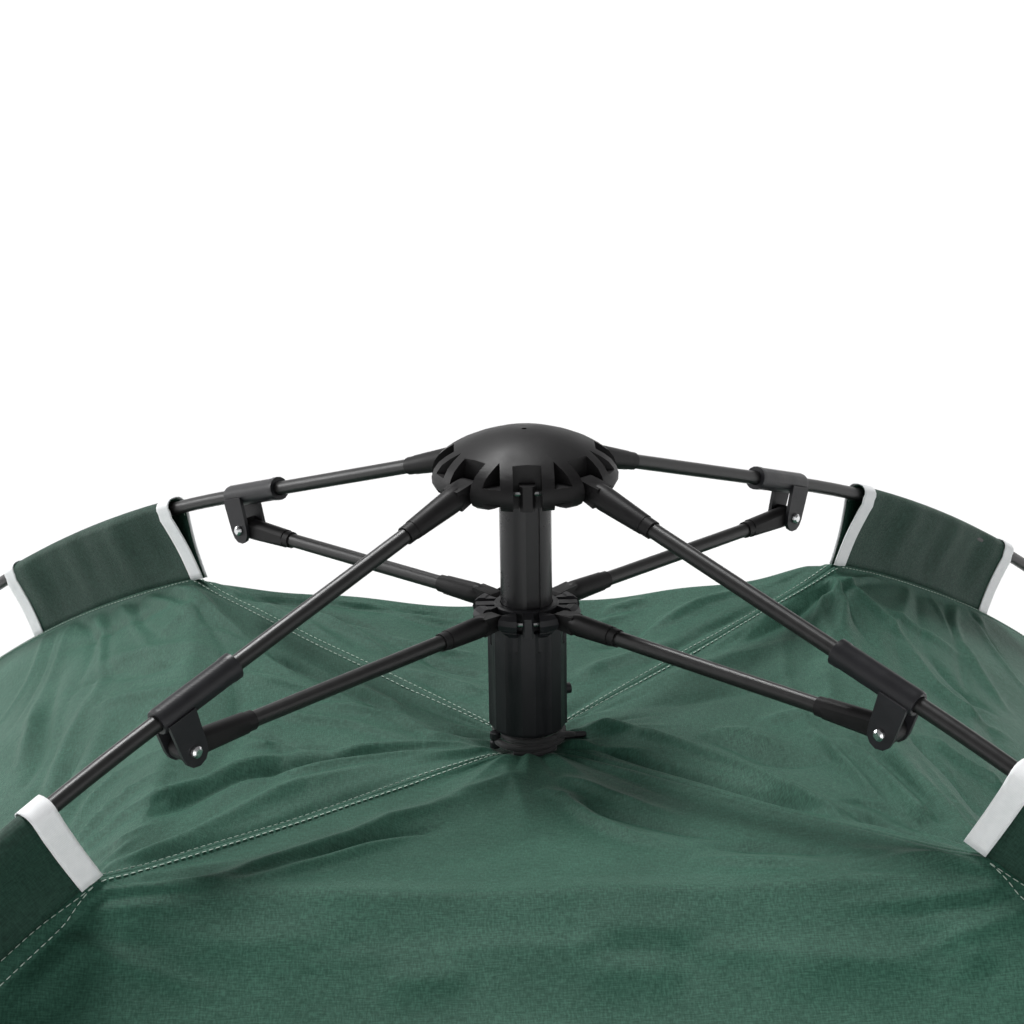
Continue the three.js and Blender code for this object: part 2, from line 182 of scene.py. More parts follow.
def cloth_material(name, dark, mid, light, sheen=0.13, rough=0.54, slub=1.0, tint=(0.75, 0.95, 0.8, 1)):
    """Plain-woven polyester: UVs are in metres, U across the panel and V along it."""
    m, nt, b = nodes_of(name)
    uv = nt.nodes.new("ShaderNodeTexCoord").outputs["UV"]
    # slubs: long thin streaks of thicker yarn, both ways of the weave
    warp = N(nt, "ShaderNodeTexNoise", Scale=1.0, Detail=3.0, Roughness=0.6)
    link(nt, mapping(nt, uv, (1050, 210, 1)), warp.inputs["Vector"])
    weft = N(nt, "ShaderNodeTexNoise", Scale=1.0, Detail=3.0, Roughness=0.6)
    link(nt, mapping(nt, uv, (190, 980, 1)), weft.inputs["Vector"])
    mottle = N(nt, "ShaderNodeTexNoise", Scale=1.0, Detail=5.0, Roughness=0.6)
    link(nt, mapping(nt, uv, (16, 12, 1)), mottle.inputs["Vector"])
    s = math_node(nt, "ADD", math_node(nt, "MULTIPLY", warp.outputs["Fac"], 0.5 * slub), math_node(nt, "MULTIPLY", weft.outputs["Fac"], 0.5 * slub))
    f = math_node(nt, "ADD", math_node(nt, "MULTIPLY", s, 0.80), math_node(nt, "MULTIPLY", mottle.outputs["Fac"], 0.20))
    col = ramp(nt, f, [(0.40, dark), (0.5, mid), (0.61, light)])
    link(nt, col, b.inputs["Base Color"])
    # the weave itself: crossing yarns 0.42 mm apart
    wv = N(nt, "ShaderNodeTexWave", wave_type="BANDS", bands_direction="X", Scale=1.0, Distortion=0.4)
    wv.inputs["Detail Scale"].default_value = 2.0
    link(nt, mapping(nt, uv, (2600, 200, 1)), wv.inputs["Vector"])
    wh = N(nt, "ShaderNodeTexWave", wave_type="BANDS", bands_direction="Y", Scale=1.0, Distortion=0.4)
    wh.inputs["Detail Scale"].default_value = 2.0
    link(nt, mapping(nt, uv, (200, 2600, 1)), wh.inputs["Vector"])
    weave = math_node(nt, "MULTIPLY", wv.outputs["Fac"], wh.outputs["Fac"])
    h = math_node(nt, "ADD", math_node(nt, "MULTIPLY", weave, 0.5), s)
    crumple = N(nt, "ShaderNodeTexNoise", Scale=1.0, Detail=5.0, Roughness=0.6)
    link(nt, mapping(nt, uv, (55, 40, 1)), crumple.inputs["Vector"])
    n1 = bump(nt, crumple.outputs["Fac"], 0.22, 0.004)
    n2 = bump(nt, h, 0.28, 0.00035, n1)
    link(nt, n2, b.inputs["Normal"])
    rr = ramp(nt, f, [(0.3, (rough + 0.07,) * 3), (0.7, (rough - 0.06,) * 3)])
    link(nt, rr, b.inputs["Roughness"])
    b.inputs["Sheen Weight"].default_value = sheen
    b.inputs["Sheen Roughness"].default_value = 0.45
    b.inputs["Sheen Tint"].default_value = tint
    b.inputs["Specular IOR Level"].default_value = 0.20
    return m

def plastic_material(name, base, light, rough=0.42, grain=0.0006, edge=0.06, spec=0.32):
    m, nt, b = nodes_of(name)
    co = nt.nodes.new("ShaderNodeTexCoord").outputs["Object"]
    n = N(nt, "ShaderNodeTexNoise", Scale=900.0, Detail=3.0, Roughness=0.5); link(nt, co, n.inputs["Vector"])
    big = N(nt, "ShaderNodeTexNoise", Scale=45.0, Detail=4.0, Roughness=0.6); link(nt, co, big.inputs["Vector"])
    geo = nt.nodes.new("ShaderNodeNewGeometry")
    wear = ramp(nt, geo.outputs["Pointiness"], [(0.5, (0, 0, 0)), (0.62, (1, 1, 1))])
    f = math_node(nt, "ADD", math_node(nt, "MULTIPLY", big.outputs["Fac"], 0.8), math_node(nt, "MULTIPLY", wear, edge))
    link(nt, ramp(nt, f, [(0.25, base), (0.75, light)]), b.inputs["Base Color"])
    link(nt, ramp(nt, big.outputs["Fac"], [(0.3, (rough - 0.06,) * 3), (0.7, (rough + 0.08,) * 3)]), b.inputs["Roughness"])
    link(nt, bump(nt, n.outputs["Fac"], 0.25, grain), b.inputs["Normal"])
    b.inputs["Specular IOR Level"].default_value = spec
    return m

def rod_material(name):
    m, nt, b = nodes_of(name)
    uv = nt.nodes.new("ShaderNodeTexCoord").outputs["UV"]
    # fine lengthwise draw lines and faint wrap marks
    n = N(nt, "ShaderNodeTexNoise", Scale=1.0, Detail=3.0, Roughness=0.55); link(nt, mapping(nt, uv, (2600, 12, 1)), n.inputs["Vector"])
    w = N(nt, "ShaderNodeTexNoise", Scale=1.0, Detail=2.0, Roughness=0.5); link(nt, mapping(nt, uv, (90, 160, 1)), w.inputs["Vector"])
    f = math_node(nt, "ADD", math_node(nt, "MULTIPLY", n.outputs["Fac"], 0.6), math_node(nt, "MULTIPLY", w.outputs["Fac"], 0.4))
    link(nt, ramp(nt, f, [(0.3, (0.007, 0.007, 0.007)), (0.7, (0.015, 0.0145, 0.0145))]), b.inputs["Base Color"])
    link(nt, ramp(nt, f, [(0.3, (0.30,) * 3), (0.7, (0.44,) * 3)]), b.inputs["Roughness"])
    link(nt, bump(nt, n.outputs["Fac"], 0.3, 0.0002), b.inputs["Normal"])
    return m

def metal_material(name, dark, light, rough):
    m, nt, b = nodes_of(name)
    co = nt.nodes.new("ShaderNodeTexCoord").outputs["Object"]
    n = N(nt, "ShaderNodeTexNoise", Scale=700.0, Detail=4.0, Roughness=0.6); link(nt, co, n.inputs["Vector"])
    link(nt, ramp(nt, n.outputs["Fac"], [(0.3, dark), (0.7, light)]), b.inputs["Base Color"])
    b.inputs["Metallic"].default_value = 1.0
    link(nt, ramp(nt, n.outputs["Fac"], [(0.3, (rough - 0.05,) * 3), (0.7, (rough + 0.1,) * 3)]), b.inputs["Roughness"])
    link(nt, bump(nt, n.outputs["Fac"], 0.12, 0.0002), b.inputs["Normal"])
    return m

def tape_material(name, dark, light):
    """Grosgrain tape: U across, V along, in metres."""
    m, nt, b = nodes_of(name)
    uv = nt.nodes.new("ShaderNodeTexCoord").outputs["UV"]
    w = N(nt, "ShaderNodeTexWave", wave_type="BANDS", bands_direction="Y", Scale=1.0, Distortion=0.6)
    link(nt, mapping(nt, uv, (100, 520, 1)), w.inputs["Vector"])
    n = N(nt, "ShaderNodeTexNoise", Scale=1.0, Detail=4.0, Roughness=0.6); link(nt, mapping(nt, uv, (160, 160, 1)), n.inputs["Vector"])
    f = math_node(nt, "ADD", math_node(nt, "MULTIPLY", w.outputs["Fac"], 0.35), math_node(nt, "MULTIPLY", n.outputs["Fac"], 0.65))
    link(nt, ramp(nt, f, [(0.25, dark), (0.75, light)]), b.inputs["Base Color"])
    b.inputs["Roughness"].default_value = 0.68
    b.inputs["Sheen Weight"].default_value = 0.25
    link(nt, bump(nt, w.outputs["Fac"], 0.35, 0.0003), b.inputs["Normal"])
    return m

GREEN = cloth_material("canopy_cloth", (0.0145, 0.058, 0.038), (0.025, 0.087, 0.059), (0.043, 0.130, 0.090), sheen=0.07)
GREEN_WEB = cloth_material("web_cloth", (0.008, 0.029, 0.020), (0.014, 0.045, 0.031), (0.022, 0.063, 0.044), sheen=0.05)
TAPE = tape_material("binding_tape", (0.80, 0.82, 0.83), (0.95, 0.96, 0.97))
TAPE_DARK = tape_material("hem_tape", (0.012, 0.040, 0.028), (0.024, 0.068, 0.050))
TAPE_BLACK = tape_material("webbing_black", (0.012, 0.012, 0.013), (0.034, 0.034, 0.036))
THREAD = tape_material("pale_thread", (0.46, 0.58, 0.50), (0.68, 0.80, 0.72))
HUB = plastic_material("hub_plastic", (0.0085, 0.008, 0.0085), (0.015, 0.0145, 0.015), 0.46, 0.0002, spec=0.20)
DARKP = plastic_material("skirt_plastic", (0.012, 0.012, 0.014), (0.020, 0.020, 0.023), 0.40, 0.0003)
TUBEM = plastic_material("tube_black", (0.013, 0.013, 0.014), (0.022, 0.022, 0.023), 0.30, 0.0002)
RODM = rod_material("rod_black")
STEEL = metal_material("steel", (0.62, 0.63, 0.64), (0.86, 0.87, 0.88), 0.16)
FERR = metal_material("ferrule_steel", (0.20, 0.21, 0.22), (0.34, 0.35, 0.37), 0.34)
CORDM = tape_material("black_cord", (0.010, 0.010, 0.011), (0.030, 0.030, 0.031))
ZIPM = plastic_material("zip_black", (0.02, 0.02, 0.02), (0.045, 0.045, 0.045), 0.5, 0.0004)

# ------------------------------------------------------------------ mesh helpers
def mesh_object(name, verts, faces, mat, uvs=None, smooth=True, normals=None):
    me = bpy.data.meshes.new(name)
    me.from_pydata([tuple(map(float, v)) for v in verts], [], [tuple(int(i) for i in f) for f in faces])
    if uvs is not None:
        layer = me.uv_layers.new(name="UVMap")
        idx = np.zeros(len(me.loops), np.int32)
        me.loops.foreach_get("vertex_index", idx)
        layer.data.foreach_set("uv", np.asarray(uvs, np.float32)[idx].ravel())
    me.polygons.foreach_set("use_smooth", [smooth] * len(me.polygons))
    if normals is not None:
        me.normals_split_custom_set_from_vertices([tuple(map(float, n)) for n in normals])
    me.materials.append(mat)
    ob = bpy.data.objects.new(name, me)
    SC.collection.objects.link(ob)
    return ob
def grid_faces(rows, cols, base=0, closed=False):
    i, j = np.meshgrid(np.arange(rows - 1), np.arange(cols if closed else cols - 1), indexing="ij")
    k = (j + 1) % cols
    return np.stack([base + i * cols + j, base + i * cols + k, base + (i + 1) * cols + k, base + (i + 1) * cols + j], -1).reshape(-1, 4)
def turn(v, az):
    """Points built on +X, turned to azimuth az degrees."""
    v = np.asarray(v, float)
    c, s = math.cos(az * D), math.sin(az * D)
    return np.stack([v[:, 0] * c - v[:, 1] * s, v[:, 0] * s + v[:, 1] * c, v[:, 2]], -1)

# ------------------------------------------------------------------ canopy
def ridge_line():
    """Ridge seam in the arm's plane: radius, height over the pivots."""
    key = [(0.0135, -0.1646), (0.032, -0.1608), (0.08, -0.1565), (0.13, -0.1525), (0.18, -0.1486), (0.235, -0.1426), (0.275, -0.1386)]
    s0 = len_at(0.304 + WEB * math.sin(19 * D))
    pts = [np.array(p) for p in key]
    n = 120
    for i in range(n + 1):
        s = s0 + (LENGTH - s0) * i / n
        t = max(0.0, (i / n - 0.6) / 0.4)
        pts.append(np.array(off(s, WEB - 0.022 * t * t)))
    out = []
    for p in pts:
        if p[1] + H > HEM: out.append(p)
        else:
            q = out[-1]; k = (q[1] + H - HEM) / (q[1] - p[1])
            out.append(q + (p - q) * k); break
    out = np.array(out)
    seg = np.concatenate([[0], np.cumsum(np.linalg.norm(np.diff(out, axis=0), axis=1))])
    total = seg[-1]
    # rows: close together at the top, wider down the walls
    rows = np.concatenate([np.linspace(0, 0.60, 216, endpoint=False), np.linspace(0.60, 1.0, 48, endpoint=False), np.linspace(1.0, total, 50)])
    r, z = np.interp(rows, seg, out[:, 0]), np.interp(rows, seg, out[:, 1])
    # the seam rounds over the shoulder
    for _ in range(3):
        r[1:-1] = 0.25 * r[:-2] + 0.5 * r[1:-1] + 0.25 * r[2:]
        z[1:-1] = 0.25 * z[:-2] + 0.5 * z[1:-1] + 0.25 * z[2:]
    return rows, r, z
ROWS, RR, RZ = ridge_line()
SHOULDER = int(np.searchsorted(RR, 0.304))        # the dish ends and the walls begin at this row
NEAR = np.array([0, 1.4, 3.2, 4.8, 6.0, 8.5, 11.0, 12.4, 13.6, 17]) * 1e-3
COLS = 82
def columns(c):
    """Distances from the ridge across half a face whose half width is c."""
    s = min(1.0, c / 0.07)
    near = NEAR * s
    f = np.linspace(0, 1, COLS - len(NEAR) + 1)[1:] ** 1.12
    return np.concatenate([near, near[-1] + (c - near[-1]) * f])
def sag(r, z):
    brow = np.exp(-((r - 0.33) / 0.19) ** 2)
    wall = np.clip((r - 0.42) / 0.4, 0, 1) * np.clip((z + H - HEM) / 0.5, 0, 1)
    return 0.017 * brow * np.minimum(1, r / 0.12), 0.026 * wall + 0.013 * np.exp(-((r - 0.33) / 0.15) ** 2)
def face_grid(az):
    """Whole face, ridge to ridge, in the row frame: points [rows, cols, 3] and signed distance across."""
    n = np.array([math.cos(az * D), math.sin(az * D), 0]); t = np.array([-math.sin(az * D), math.cos(az * D), 0])
    pts, lat, dist = [], [], []
    for r, z in zip(RR, RZ):
        c = r / math.sqrt(2)
        d = columns(c)
        u = d / c
        w = 1 - (1 - u) ** 2
        down, inward = sag(r, z)
        x = np.concatenate([-(c - d), (c - d)[::-1][1:]])     # across, from one ridge to the other
        ww = np.concatenate([w, w[::-1][1:]]); dd = np.concatenate([d, d[::-1][1:]])
        outw = c - inward * ww
        pts.append(n[None] * outw[:, None] + t[None] * x[:, None] + np.array([0, 0, 1.0])[None] * (z + H - down * ww)[:, None])
        lat.append(x); dist.append(dd)
    return np.array(pts), np.array(lat), np.array(dist)
def grid_normals(P):
    du = np.zeros_like(P); dv = np.zeros_like(P)
    du[:, 1:-1] = P[:, 2:] - P[:, :-2]; du[:, 0] = P[:, 1] - P[:, 0]; du[:, -1] = P[:, -1] - P[:, -2]
    dv[1:-1] = P[2:] - P[:-2]; dv[0] = P[1] - P[0]; dv[-1] = P[-1] - P[-2]
    n = np.cross(dv, du)
    n /= np.linalg.norm(n, axis=-1, keepdims=True) + 1e-12
    flip = (n[..., 2] < 0) & (P[..., 2] > H - 0.6)
    if flip.mean() > 0.3: n = -n
    return n
def dist_to_line(P, line):
    """Nearest distance from points to a polyline and how far along it, 0 to 1."""
    L = np.asarray(line, float)
    seg = np.linalg.norm(np.diff(L, axis=0), axis=1); cum = np.concatenate([[0], np.cumsum(seg)])
    best = np.full(P.shape[:-1], 1e9); at = np.zeros(P.shape[:-1])
    for k in range(len(L) - 1):
        a, b = L[k], L[k + 1]; ab = b - a
        t = np.clip(((P - a) @ ab) / (ab @ ab), 0, 1)
        d = np.linalg.norm(P - (a + t[..., None] * ab), axis=-1)
        m = d < best
        best = np.where(m, d, best); at = np.where(m, (cum[k] + t * seg[k]) / cum[-1], at)
    return best, at

# folds: (face, points [across, outward, height over the ground], height in mm, half width in mm, fade in, fade out)
FOLDS = []
FOLD_GAIN = 2.0
FOLDS += [
    ('left', [(0.198, 0.219, 1.258), (0.165, 0.193, 1.256), (0.129, 0.172, 1.251), (0.094, 0.15, 1.247), (0.069, 0.126, 1.244), (0.053, 0.1, 1.243), (0.034, 0.073, 1.242)], 6, 11, 0.08, 0.35),
    ('left', [(0.189, 0.199, 1.26), (0.153, 0.17, 1.254), (0.123, 0.142, 1.25), (0.092, 0.113, 1.246), (0.069, 0.083, 1.244), (0.043, 0.05, 1.241)], -3.5, 8, 0.15, 0.3),
    ('left', [(0.086, 0.226, 1.238), (0.08, 0.194, 1.249), (0.043, 0.163, 1.244), (0.026, 0.14, 1.243), (0.015, 0.113, 1.241)], 3, 7, 0.2, 0.3),
    ('left', [(0.108, 0.201, 1.252), (0.082, 0.183, 1.248), (0.054, 0.159, 1.245), (0.032, 0.128, 1.242), (0.02, 0.09, 1.241), (0.016, 0.056, 1.241)], -3.5, 6, 0.15, 0.3),
    ('left', [(0.018, 0.112, 1.241), (0.012, 0.084, 1.241), (0.011, 0.05, 1.24), (0.009, 0.022, 1.238)], 3, 7, 0.2, 0.2),
    ('left', [(0.052, 0.138, 1.243), (0.037, 0.106, 1.242), (0.027, 0.073, 1.241), (0.018, 0.039, 1.24)], 2.2, 6, 0.2, 0.3),
    ('left', [(0.092, 0.244, 1.228), (0.075, 0.233, 1.233), (0.062, 0.213, 1.244), (0.049, 0.187, 1.246)], 2.4, 5, 0.05, 0.5),
    ('left', [(0.111, 0.24, 1.232), (0.099, 0.224, 1.241), (0.088, 0.203, 1.25), (0.059, 0.181, 1.246)], 2.2, 5, 0.05, 0.5),
    ('left', [(0.136, 0.233, 1.238), (0.142, 0.211, 1.253), (0.115, 0.195, 1.252)], 2, 5, 0.05, 0.5),
    ('left', [(0.076, 0.25, 1.224), (0.041, 0.243, 1.226), (0.023, 0.231, 1.232), (0.023, 0.213, 1.243), (0.021, 0.177, 1.244)], 2.6, 7, 0.1, 0.5),
    ('left', [(-0.077, 0.108, 1.245), (-0.053, 0.083, 1.243), (-0.036, 0.068, 1.242)], 2.8, 6, 0.3, 0.3),
    ('left', [(-0.054, 0.134, 1.243), (-0.047, 0.104, 1.242), (-0.031, 0.074, 1.241), (-0.005, 0.053, 1.24), (0.007, 0.028, 1.238)], 2.4, 6, 0.3, 0.2),
    ('left', [(-0.121, 0.169, 1.25), (-0.097, 0.137, 1.247), (-0.067, 0.105, 1.244), (-0.032, 0.074, 1.242)], -2.4, 6, 0.3, 0.3),
    ('left', [(-0.149, 0.197, 1.255), (-0.134, 0.177, 1.252), (-0.114, 0.156, 1.249), (-0.084, 0.124, 1.245)], -2.4, 7, 0.3, 0.3),
    ('left', [(-0.091, 0.179, 1.248), (-0.08, 0.154, 1.246), (-0.062, 0.117, 1.243), (-0.046, 0.086, 1.242)], 2.2, 6, 0.3, 0.3),
    ('left', [(-0.053, 0.169, 1.245), (-0.034, 0.133, 1.242), (-0.024, 0.103, 1.241), (0.006, 0.062, 1.241)], 2.0, 6, 0.3, 0.3),
    ('left', [(-0.018, 0.172, 1.244), (-0.005, 0.148, 1.243), (0.008, 0.13, 1.242), (0.013, 0.101, 1.241)], -1.8, 5, 0.3, 0.3),
    ('left', [(0.01, 0.164, 1.244), (0.005, 0.144, 1.242), (0.012, 0.124, 1.241)], 2, 5, 0.3, 0.3),
    ('left', [(-0.147, 0.203, 1.256), (-0.139, 0.185, 1.253), (-0.123, 0.168, 1.251), (-0.103, 0.143, 1.248)], 2.4, 7, 0.3, 0.4),
    ('left', [(-0.184, 0.278, 1.216), (-0.147, 0.236, 1.238), (-0.117, 0.2, 1.253), (-0.106, 0.177, 1.249)], 2.6, 9, 0.3, 0.4),
    ('left', [(-0.14, 0.261, 1.222), (-0.108, 0.218, 1.245), (-0.103, 0.189, 1.25)], -2.4, 7, 0.3, 0.4),
    ('left', [(-0.101, 0.265, 1.217), (-0.095, 0.242, 1.23), (-0.072, 0.213, 1.245), (-0.063, 0.191, 1.248)], 2.6, 8, 0.3, 0.4),
    ('left', [(-0.166, 0.299, 1.201), (-0.153, 0.263, 1.222), (-0.126, 0.233, 1.238)], -2.2, 8, 0.4, 0.4),
    ('left', [(-0.019, 0.282, 1.205), (-0.079, 0.277, 1.209), (-0.124, 0.269, 1.216), (-0.15, 0.256, 1.226)], 3.6, 12, 0.2, 0.5),
    ('left', [(-0.042, 0.301, 1.195), (-0.103, 0.299, 1.197), (-0.177, 0.306, 1.197), (-0.23, 0.31, 1.198)], -3.2, 9, 0.2, 0.4),
    ('left', [(-0.082, 0.31, 1.19), (-0.132, 0.31, 1.192), (-0.194, 0.318, 1.19)], 3, 8, 0.3, 0.4),
    ('left', [(0.014, 0.279, 1.207), (-0.022, 0.273, 1.21), (-0.06, 0.264, 1.215)], -2.6, 7, 0.2, 0.4),
    ('left', [(-0.16, 0.231, 1.243), (-0.165, 0.215, 1.255), (-0.186, 0.207, 1.261)], 2, 8, 0.3, 0.3),
    ('left', [(-0.264, 0.316, 1.196), (-0.237, 0.276, 1.223), (-0.203, 0.236, 1.247), (-0.186, 0.21, 1.26)], -2.2, 8, 0.3, 0.3),
    ('rear', [(0.139, 0.179, 1.252), (0.122, 0.161, 1.25), (0.102, 0.141, 1.247), (0.082, 0.119, 1.245)], 4, 7, 0.3, 0.4),
    ('rear', [(0.143, 0.19, 1.253), (0.116, 0.173, 1.25), (0.09, 0.156, 1.247), (0.064, 0.133, 1.244)], -3, 6, 0.3, 0.4),
    ('rear', [(0.124, 0.199, 1.253), (0.084, 0.191, 1.249), (0.051, 0.18, 1.246), (0.025, 0.176, 1.244)], 3.2, 6, 0.3, 0.3),
    ('rear', [(0.143, 0.202, 1.255), (0.104, 0.192, 1.25), (0.058, 0.189, 1.247), (0.032, 0.185, 1.246)], -3, 7, 0.3, 0.3),
    ('rear', [(0.109, 0.164, 1.249), (0.076, 0.143, 1.245), (0.051, 0.131, 1.243), (0.026, 0.129, 1.242)], 3, 7, 0.3, 0.2),
    ('rear', [(0.075, 0.098, 1.245), (0.051, 0.086, 1.243), (0.024, 0.068, 1.241)], 3, 9, 0.3, 0.2),
    ('rear', [(0.064, 0.122, 1.244), (0.042, 0.107, 1.242), (0.021, 0.097, 1.241)], -2.6, 7, 0.3, 0.2),
    ('rear', [(0.185, 0.195, 1.259), (0.15, 0.197, 1.255), (0.123, 0.195, 1.252)], -2.2, 8, 0.2, 0.3),
    ('rear', [(0.168, 0.185, 1.256), (0.134, 0.153, 1.252), (0.11, 0.125, 1.248)], 2.2, 7, 0.1, 0.4),
    ('rear', [(-0.076, 0.142, 1.245), (-0.097, 0.159, 1.248), (-0.119, 0.18, 1.25), (-0.143, 0.191, 1.254), (-0.167, 0.199, 1.257)], 4, 8, 0.3, 0.3),
    ('rear', [(-0.031, 0.077, 1.241), (-0.048, 0.099, 1.243), (-0.074, 0.111, 1.244), (-0.1, 0.129, 1.247)], 3.2, 10, 0.2, 0.4),
    ('rear', [(-0.043, 0.127, 1.243), (-0.063, 0.138, 1.244), (-0.091, 0.161, 1.247)], -2.4, 8, 0.3, 0.4),
    ('rear', [(-0.054, 0.185, 1.246), (-0.087, 0.195, 1.25)], 2.4, 8, 0.3, 0.3),
    ('rear', [(-0.035, 0.143, 1.243), (-0.052, 0.165, 1.245), (-0.079, 0.18, 1.247)], 2.6, 8, 0.3, 0.4),
    ('rear', [(-0.072, 0.09, 1.244), (-0.106, 0.126, 1.248), (-0.142, 0.161, 1.253), (-0.187, 0.2, 1.26)], -2.4, 7, 0.2, 0.2),
    ('right', [(0.009, 0.03, 1.239), (-0.001, 0.047, 1.24), (-0.018, 0.068, 1.241), (-0.046, 0.093, 1.242), (-0.076, 0.117, 1.245), (-0.11, 0.139, 1.248), (-0.148, 0.158, 1.254)], 6.5, 8, 0.12, 0.12),
    ('right', [(-0.016, 0.034, 1.239), (-0.05, 0.065, 1.242), (-0.074, 0.09, 1.245), (-0.098, 0.114, 1.247), (-0.121, 0.137, 1.25), (-0.151, 0.157, 1.254)], -6, 7, 0.15, 0.25),
    ('right', [(-0.016, 0.097, 1.241), (-0.033, 0.117, 1.242), (-0.054, 0.131, 1.243), (-0.062, 0.146, 1.244), (-0.064, 0.173, 1.246)], -4, 11, 0.3, 0.4),
    ('right', [(-0.007, 0.106, 1.241), (-0.016, 0.125, 1.242), (-0.039, 0.139, 1.243), (-0.046, 0.152, 1.244)], 3, 7, 0.3, 0.4),
    ('right', [(0.001, 0.133, 1.242), (0.005, 0.151, 1.243), (-0.006, 0.167, 1.244)], 2.2, 8, 0.3, 0.4),
    ('right', [(-0.02, 0.16, 1.243), (-0.063, 0.168, 1.245), (-0.109, 0.176, 1.249), (-0.125, 0.181, 1.251)], 3, 5, 0.2, 0.2),
    ('right', [(-0.032, 0.171, 1.244), (-0.072, 0.183, 1.247), (-0.113, 0.191, 1.251), (-0.152, 0.198, 1.255)], 5.5, 9, 0.15, 0.08),
    ('right', [(-0.027, 0.181, 1.245), (-0.07, 0.191, 1.248), (-0.115, 0.198, 1.252), (-0.164, 0.205, 1.258)], -2.6, 6, 0.2, 0.2),
    ('right', [(-0.038, 0.197, 1.248), (-0.095, 0.201, 1.251), (-0.131, 0.209, 1.253), (-0.177, 0.217, 1.255)], 3, 7, 0.2, 0.08),
    ('right', [(-0.016, 0.213, 1.242), (-0.061, 0.224, 1.238), (-0.113, 0.236, 1.234)], -2.8, 7, 0.2, 0.15),
    ('right', [(-0.011, 0.22, 1.238), (-0.03, 0.236, 1.23), (-0.046, 0.253, 1.221), (-0.066, 0.262, 1.217)], 3, 8, 0.2, 0.2),
    ('right', [(0.155, 0.245, 1.233), (0.098, 0.256, 1.222), (0.07, 0.272, 1.212), (0.063, 0.296, 1.198)], 3.6, 10, 0.2, 0.3),
    ('right', [(0.159, 0.266, 1.221), (0.123, 0.278, 1.211), (0.106, 0.3, 1.197)], -2.8, 9, 0.3, 0.3),
    ('right', [(0.229, 0.303, 1.203), (0.174, 0.307, 1.196), (0.13, 0.313, 1.19)], 2.6, 9, 0.3, 0.3),
    ('right', [(-0.121, 0.153, 1.25), (-0.119, 0.169, 1.25), (-0.13, 0.185, 1.252)], 1.8, 4, 0.3, 0.3),
    ('right', [(-0.135, 0.155, 1.252), (-0.15, 0.178, 1.254), (-0.177, 0.195, 1.258)], -3.4, 8, 0.3, 0.3),
    ('right', [(0.199, 0.209, 1.262), (0.165, 0.211, 1.257), (0.131, 0.203, 1.254), (0.096, 0.191, 1.249)], 3.4, 7, 0.05, 0.5),
    ('right', [(0.179, 0.198, 1.259), (0.13, 0.192, 1.252), (0.095, 0.193, 1.25), (0.043, 0.185, 1.246)], 3.2, 8, 0.1, 0.5),
    ('right', [(0.198, 0.215, 1.261), (0.15, 0.219, 1.249), (0.108, 0.223, 1.242)], -3, 8, 0.05, 0.5),
    ('right', [(0.202, 0.218, 1.26), (0.176, 0.243, 1.238), (0.127, 0.259, 1.222)], 2.6, 9, 0.05, 0.5),
    ('right', [(0.112, 0.136, 1.249), (0.149, 0.173, 1.254), (0.191, 0.207, 1.261)], -3.2, 7, 0.4, 0.05),
    ('right', [(0.101, 0.11, 1.247), (0.142, 0.146, 1.253), (0.175, 0.183, 1.258)], 2.4, 7, 0.3, 0.3),
    ('right', [(0.058, 0.069, 1.243), (0.085, 0.108, 1.246), (0.106, 0.148, 1.248), (0.116, 0.18, 1.25)], 1.8, 12, 0.4, 0.4),
    ('right', [(0.028, 0.043, 1.24), (0.036, 0.091, 1.242), (0.052, 0.14, 1.244), (0.071, 0.179, 1.247)], -1.8, 14, 0.4, 0.4),
    ('right', [(0.087, 0.182, 1.248), (0.031, 0.179, 1.245), (-0.017, 0.166, 1.244)], 2.4, 10, 0.3, 0.4),
    ('right', [(0.192, 0.232, 1.247), (0.196, 0.267, 1.224), (0.198, 0.303, 1.201)], 2.0, 9, 0.3, 0.4),
    ('front', [(-0.026, 0.077, 1.241), (-0.05, 0.093, 1.243), (-0.076, 0.115, 1.245), (-0.095, 0.14, 1.247), (-0.119, 0.162, 1.25), (-0.142, 0.182, 1.253), (-0.164, 0.2, 1.257), (-0.186, 0.211, 1.26)], 4.2, 9, 0.3, 0.25),
    ('front', [(-0.058, 0.126, 1.243), (-0.08, 0.145, 1.246), (-0.104, 0.167, 1.249), (-0.127, 0.186, 1.251), (-0.154, 0.203, 1.256)], 3.4, 7, 0.3, 0.3),
    ('front', [(-0.045, 0.113, 1.242), (-0.075, 0.133, 1.245), (-0.1, 0.155, 1.248), (-0.123, 0.175, 1.251)], -2.4, 6, 0.3, 0.3),
    ('front', [(0.004, 0.074, 1.241), (0.017, 0.087, 1.241), (0.028, 0.114, 1.242), (0.047, 0.136, 1.243), (0.076, 0.159, 1.246)], 3.8, 8, 0.2, 0.4),
    ('front', [(0.015, 0.059, 1.241), (0.036, 0.08, 1.242), (0.056, 0.101, 1.243), (0.08, 0.121, 1.245)], 3, 8, 0.2, 0.4),
    ('front', [(0.014, 0.087, 1.241), (0.039, 0.106, 1.242), (0.064, 0.124, 1.244), (0.102, 0.151, 1.248)], -2.4, 7, 0.3, 0.3),
    ('front', [(0.075, 0.166, 1.246), (0.118, 0.182, 1.25), (0.153, 0.203, 1.256)], 2.4, 9, 0.3, 0.3),
    ('front', [(0.082, 0.151, 1.246), (0.12, 0.165, 1.25), (0.157, 0.184, 1.255)], -2.2, 8, 0.3, 0.3),
    ('front', [(-0.006, 0.053, 1.24), (-0.034, 0.073, 1.242), (-0.055, 0.095, 1.243)], 1.8, 8, 0.3, 0.4),
    ('front', [(-0.014, 0.037, 1.239), (-0.007, 0.086, 1.241), (-0.004, 0.136, 1.242)], 1.6, 9, 0.1, 0.6),
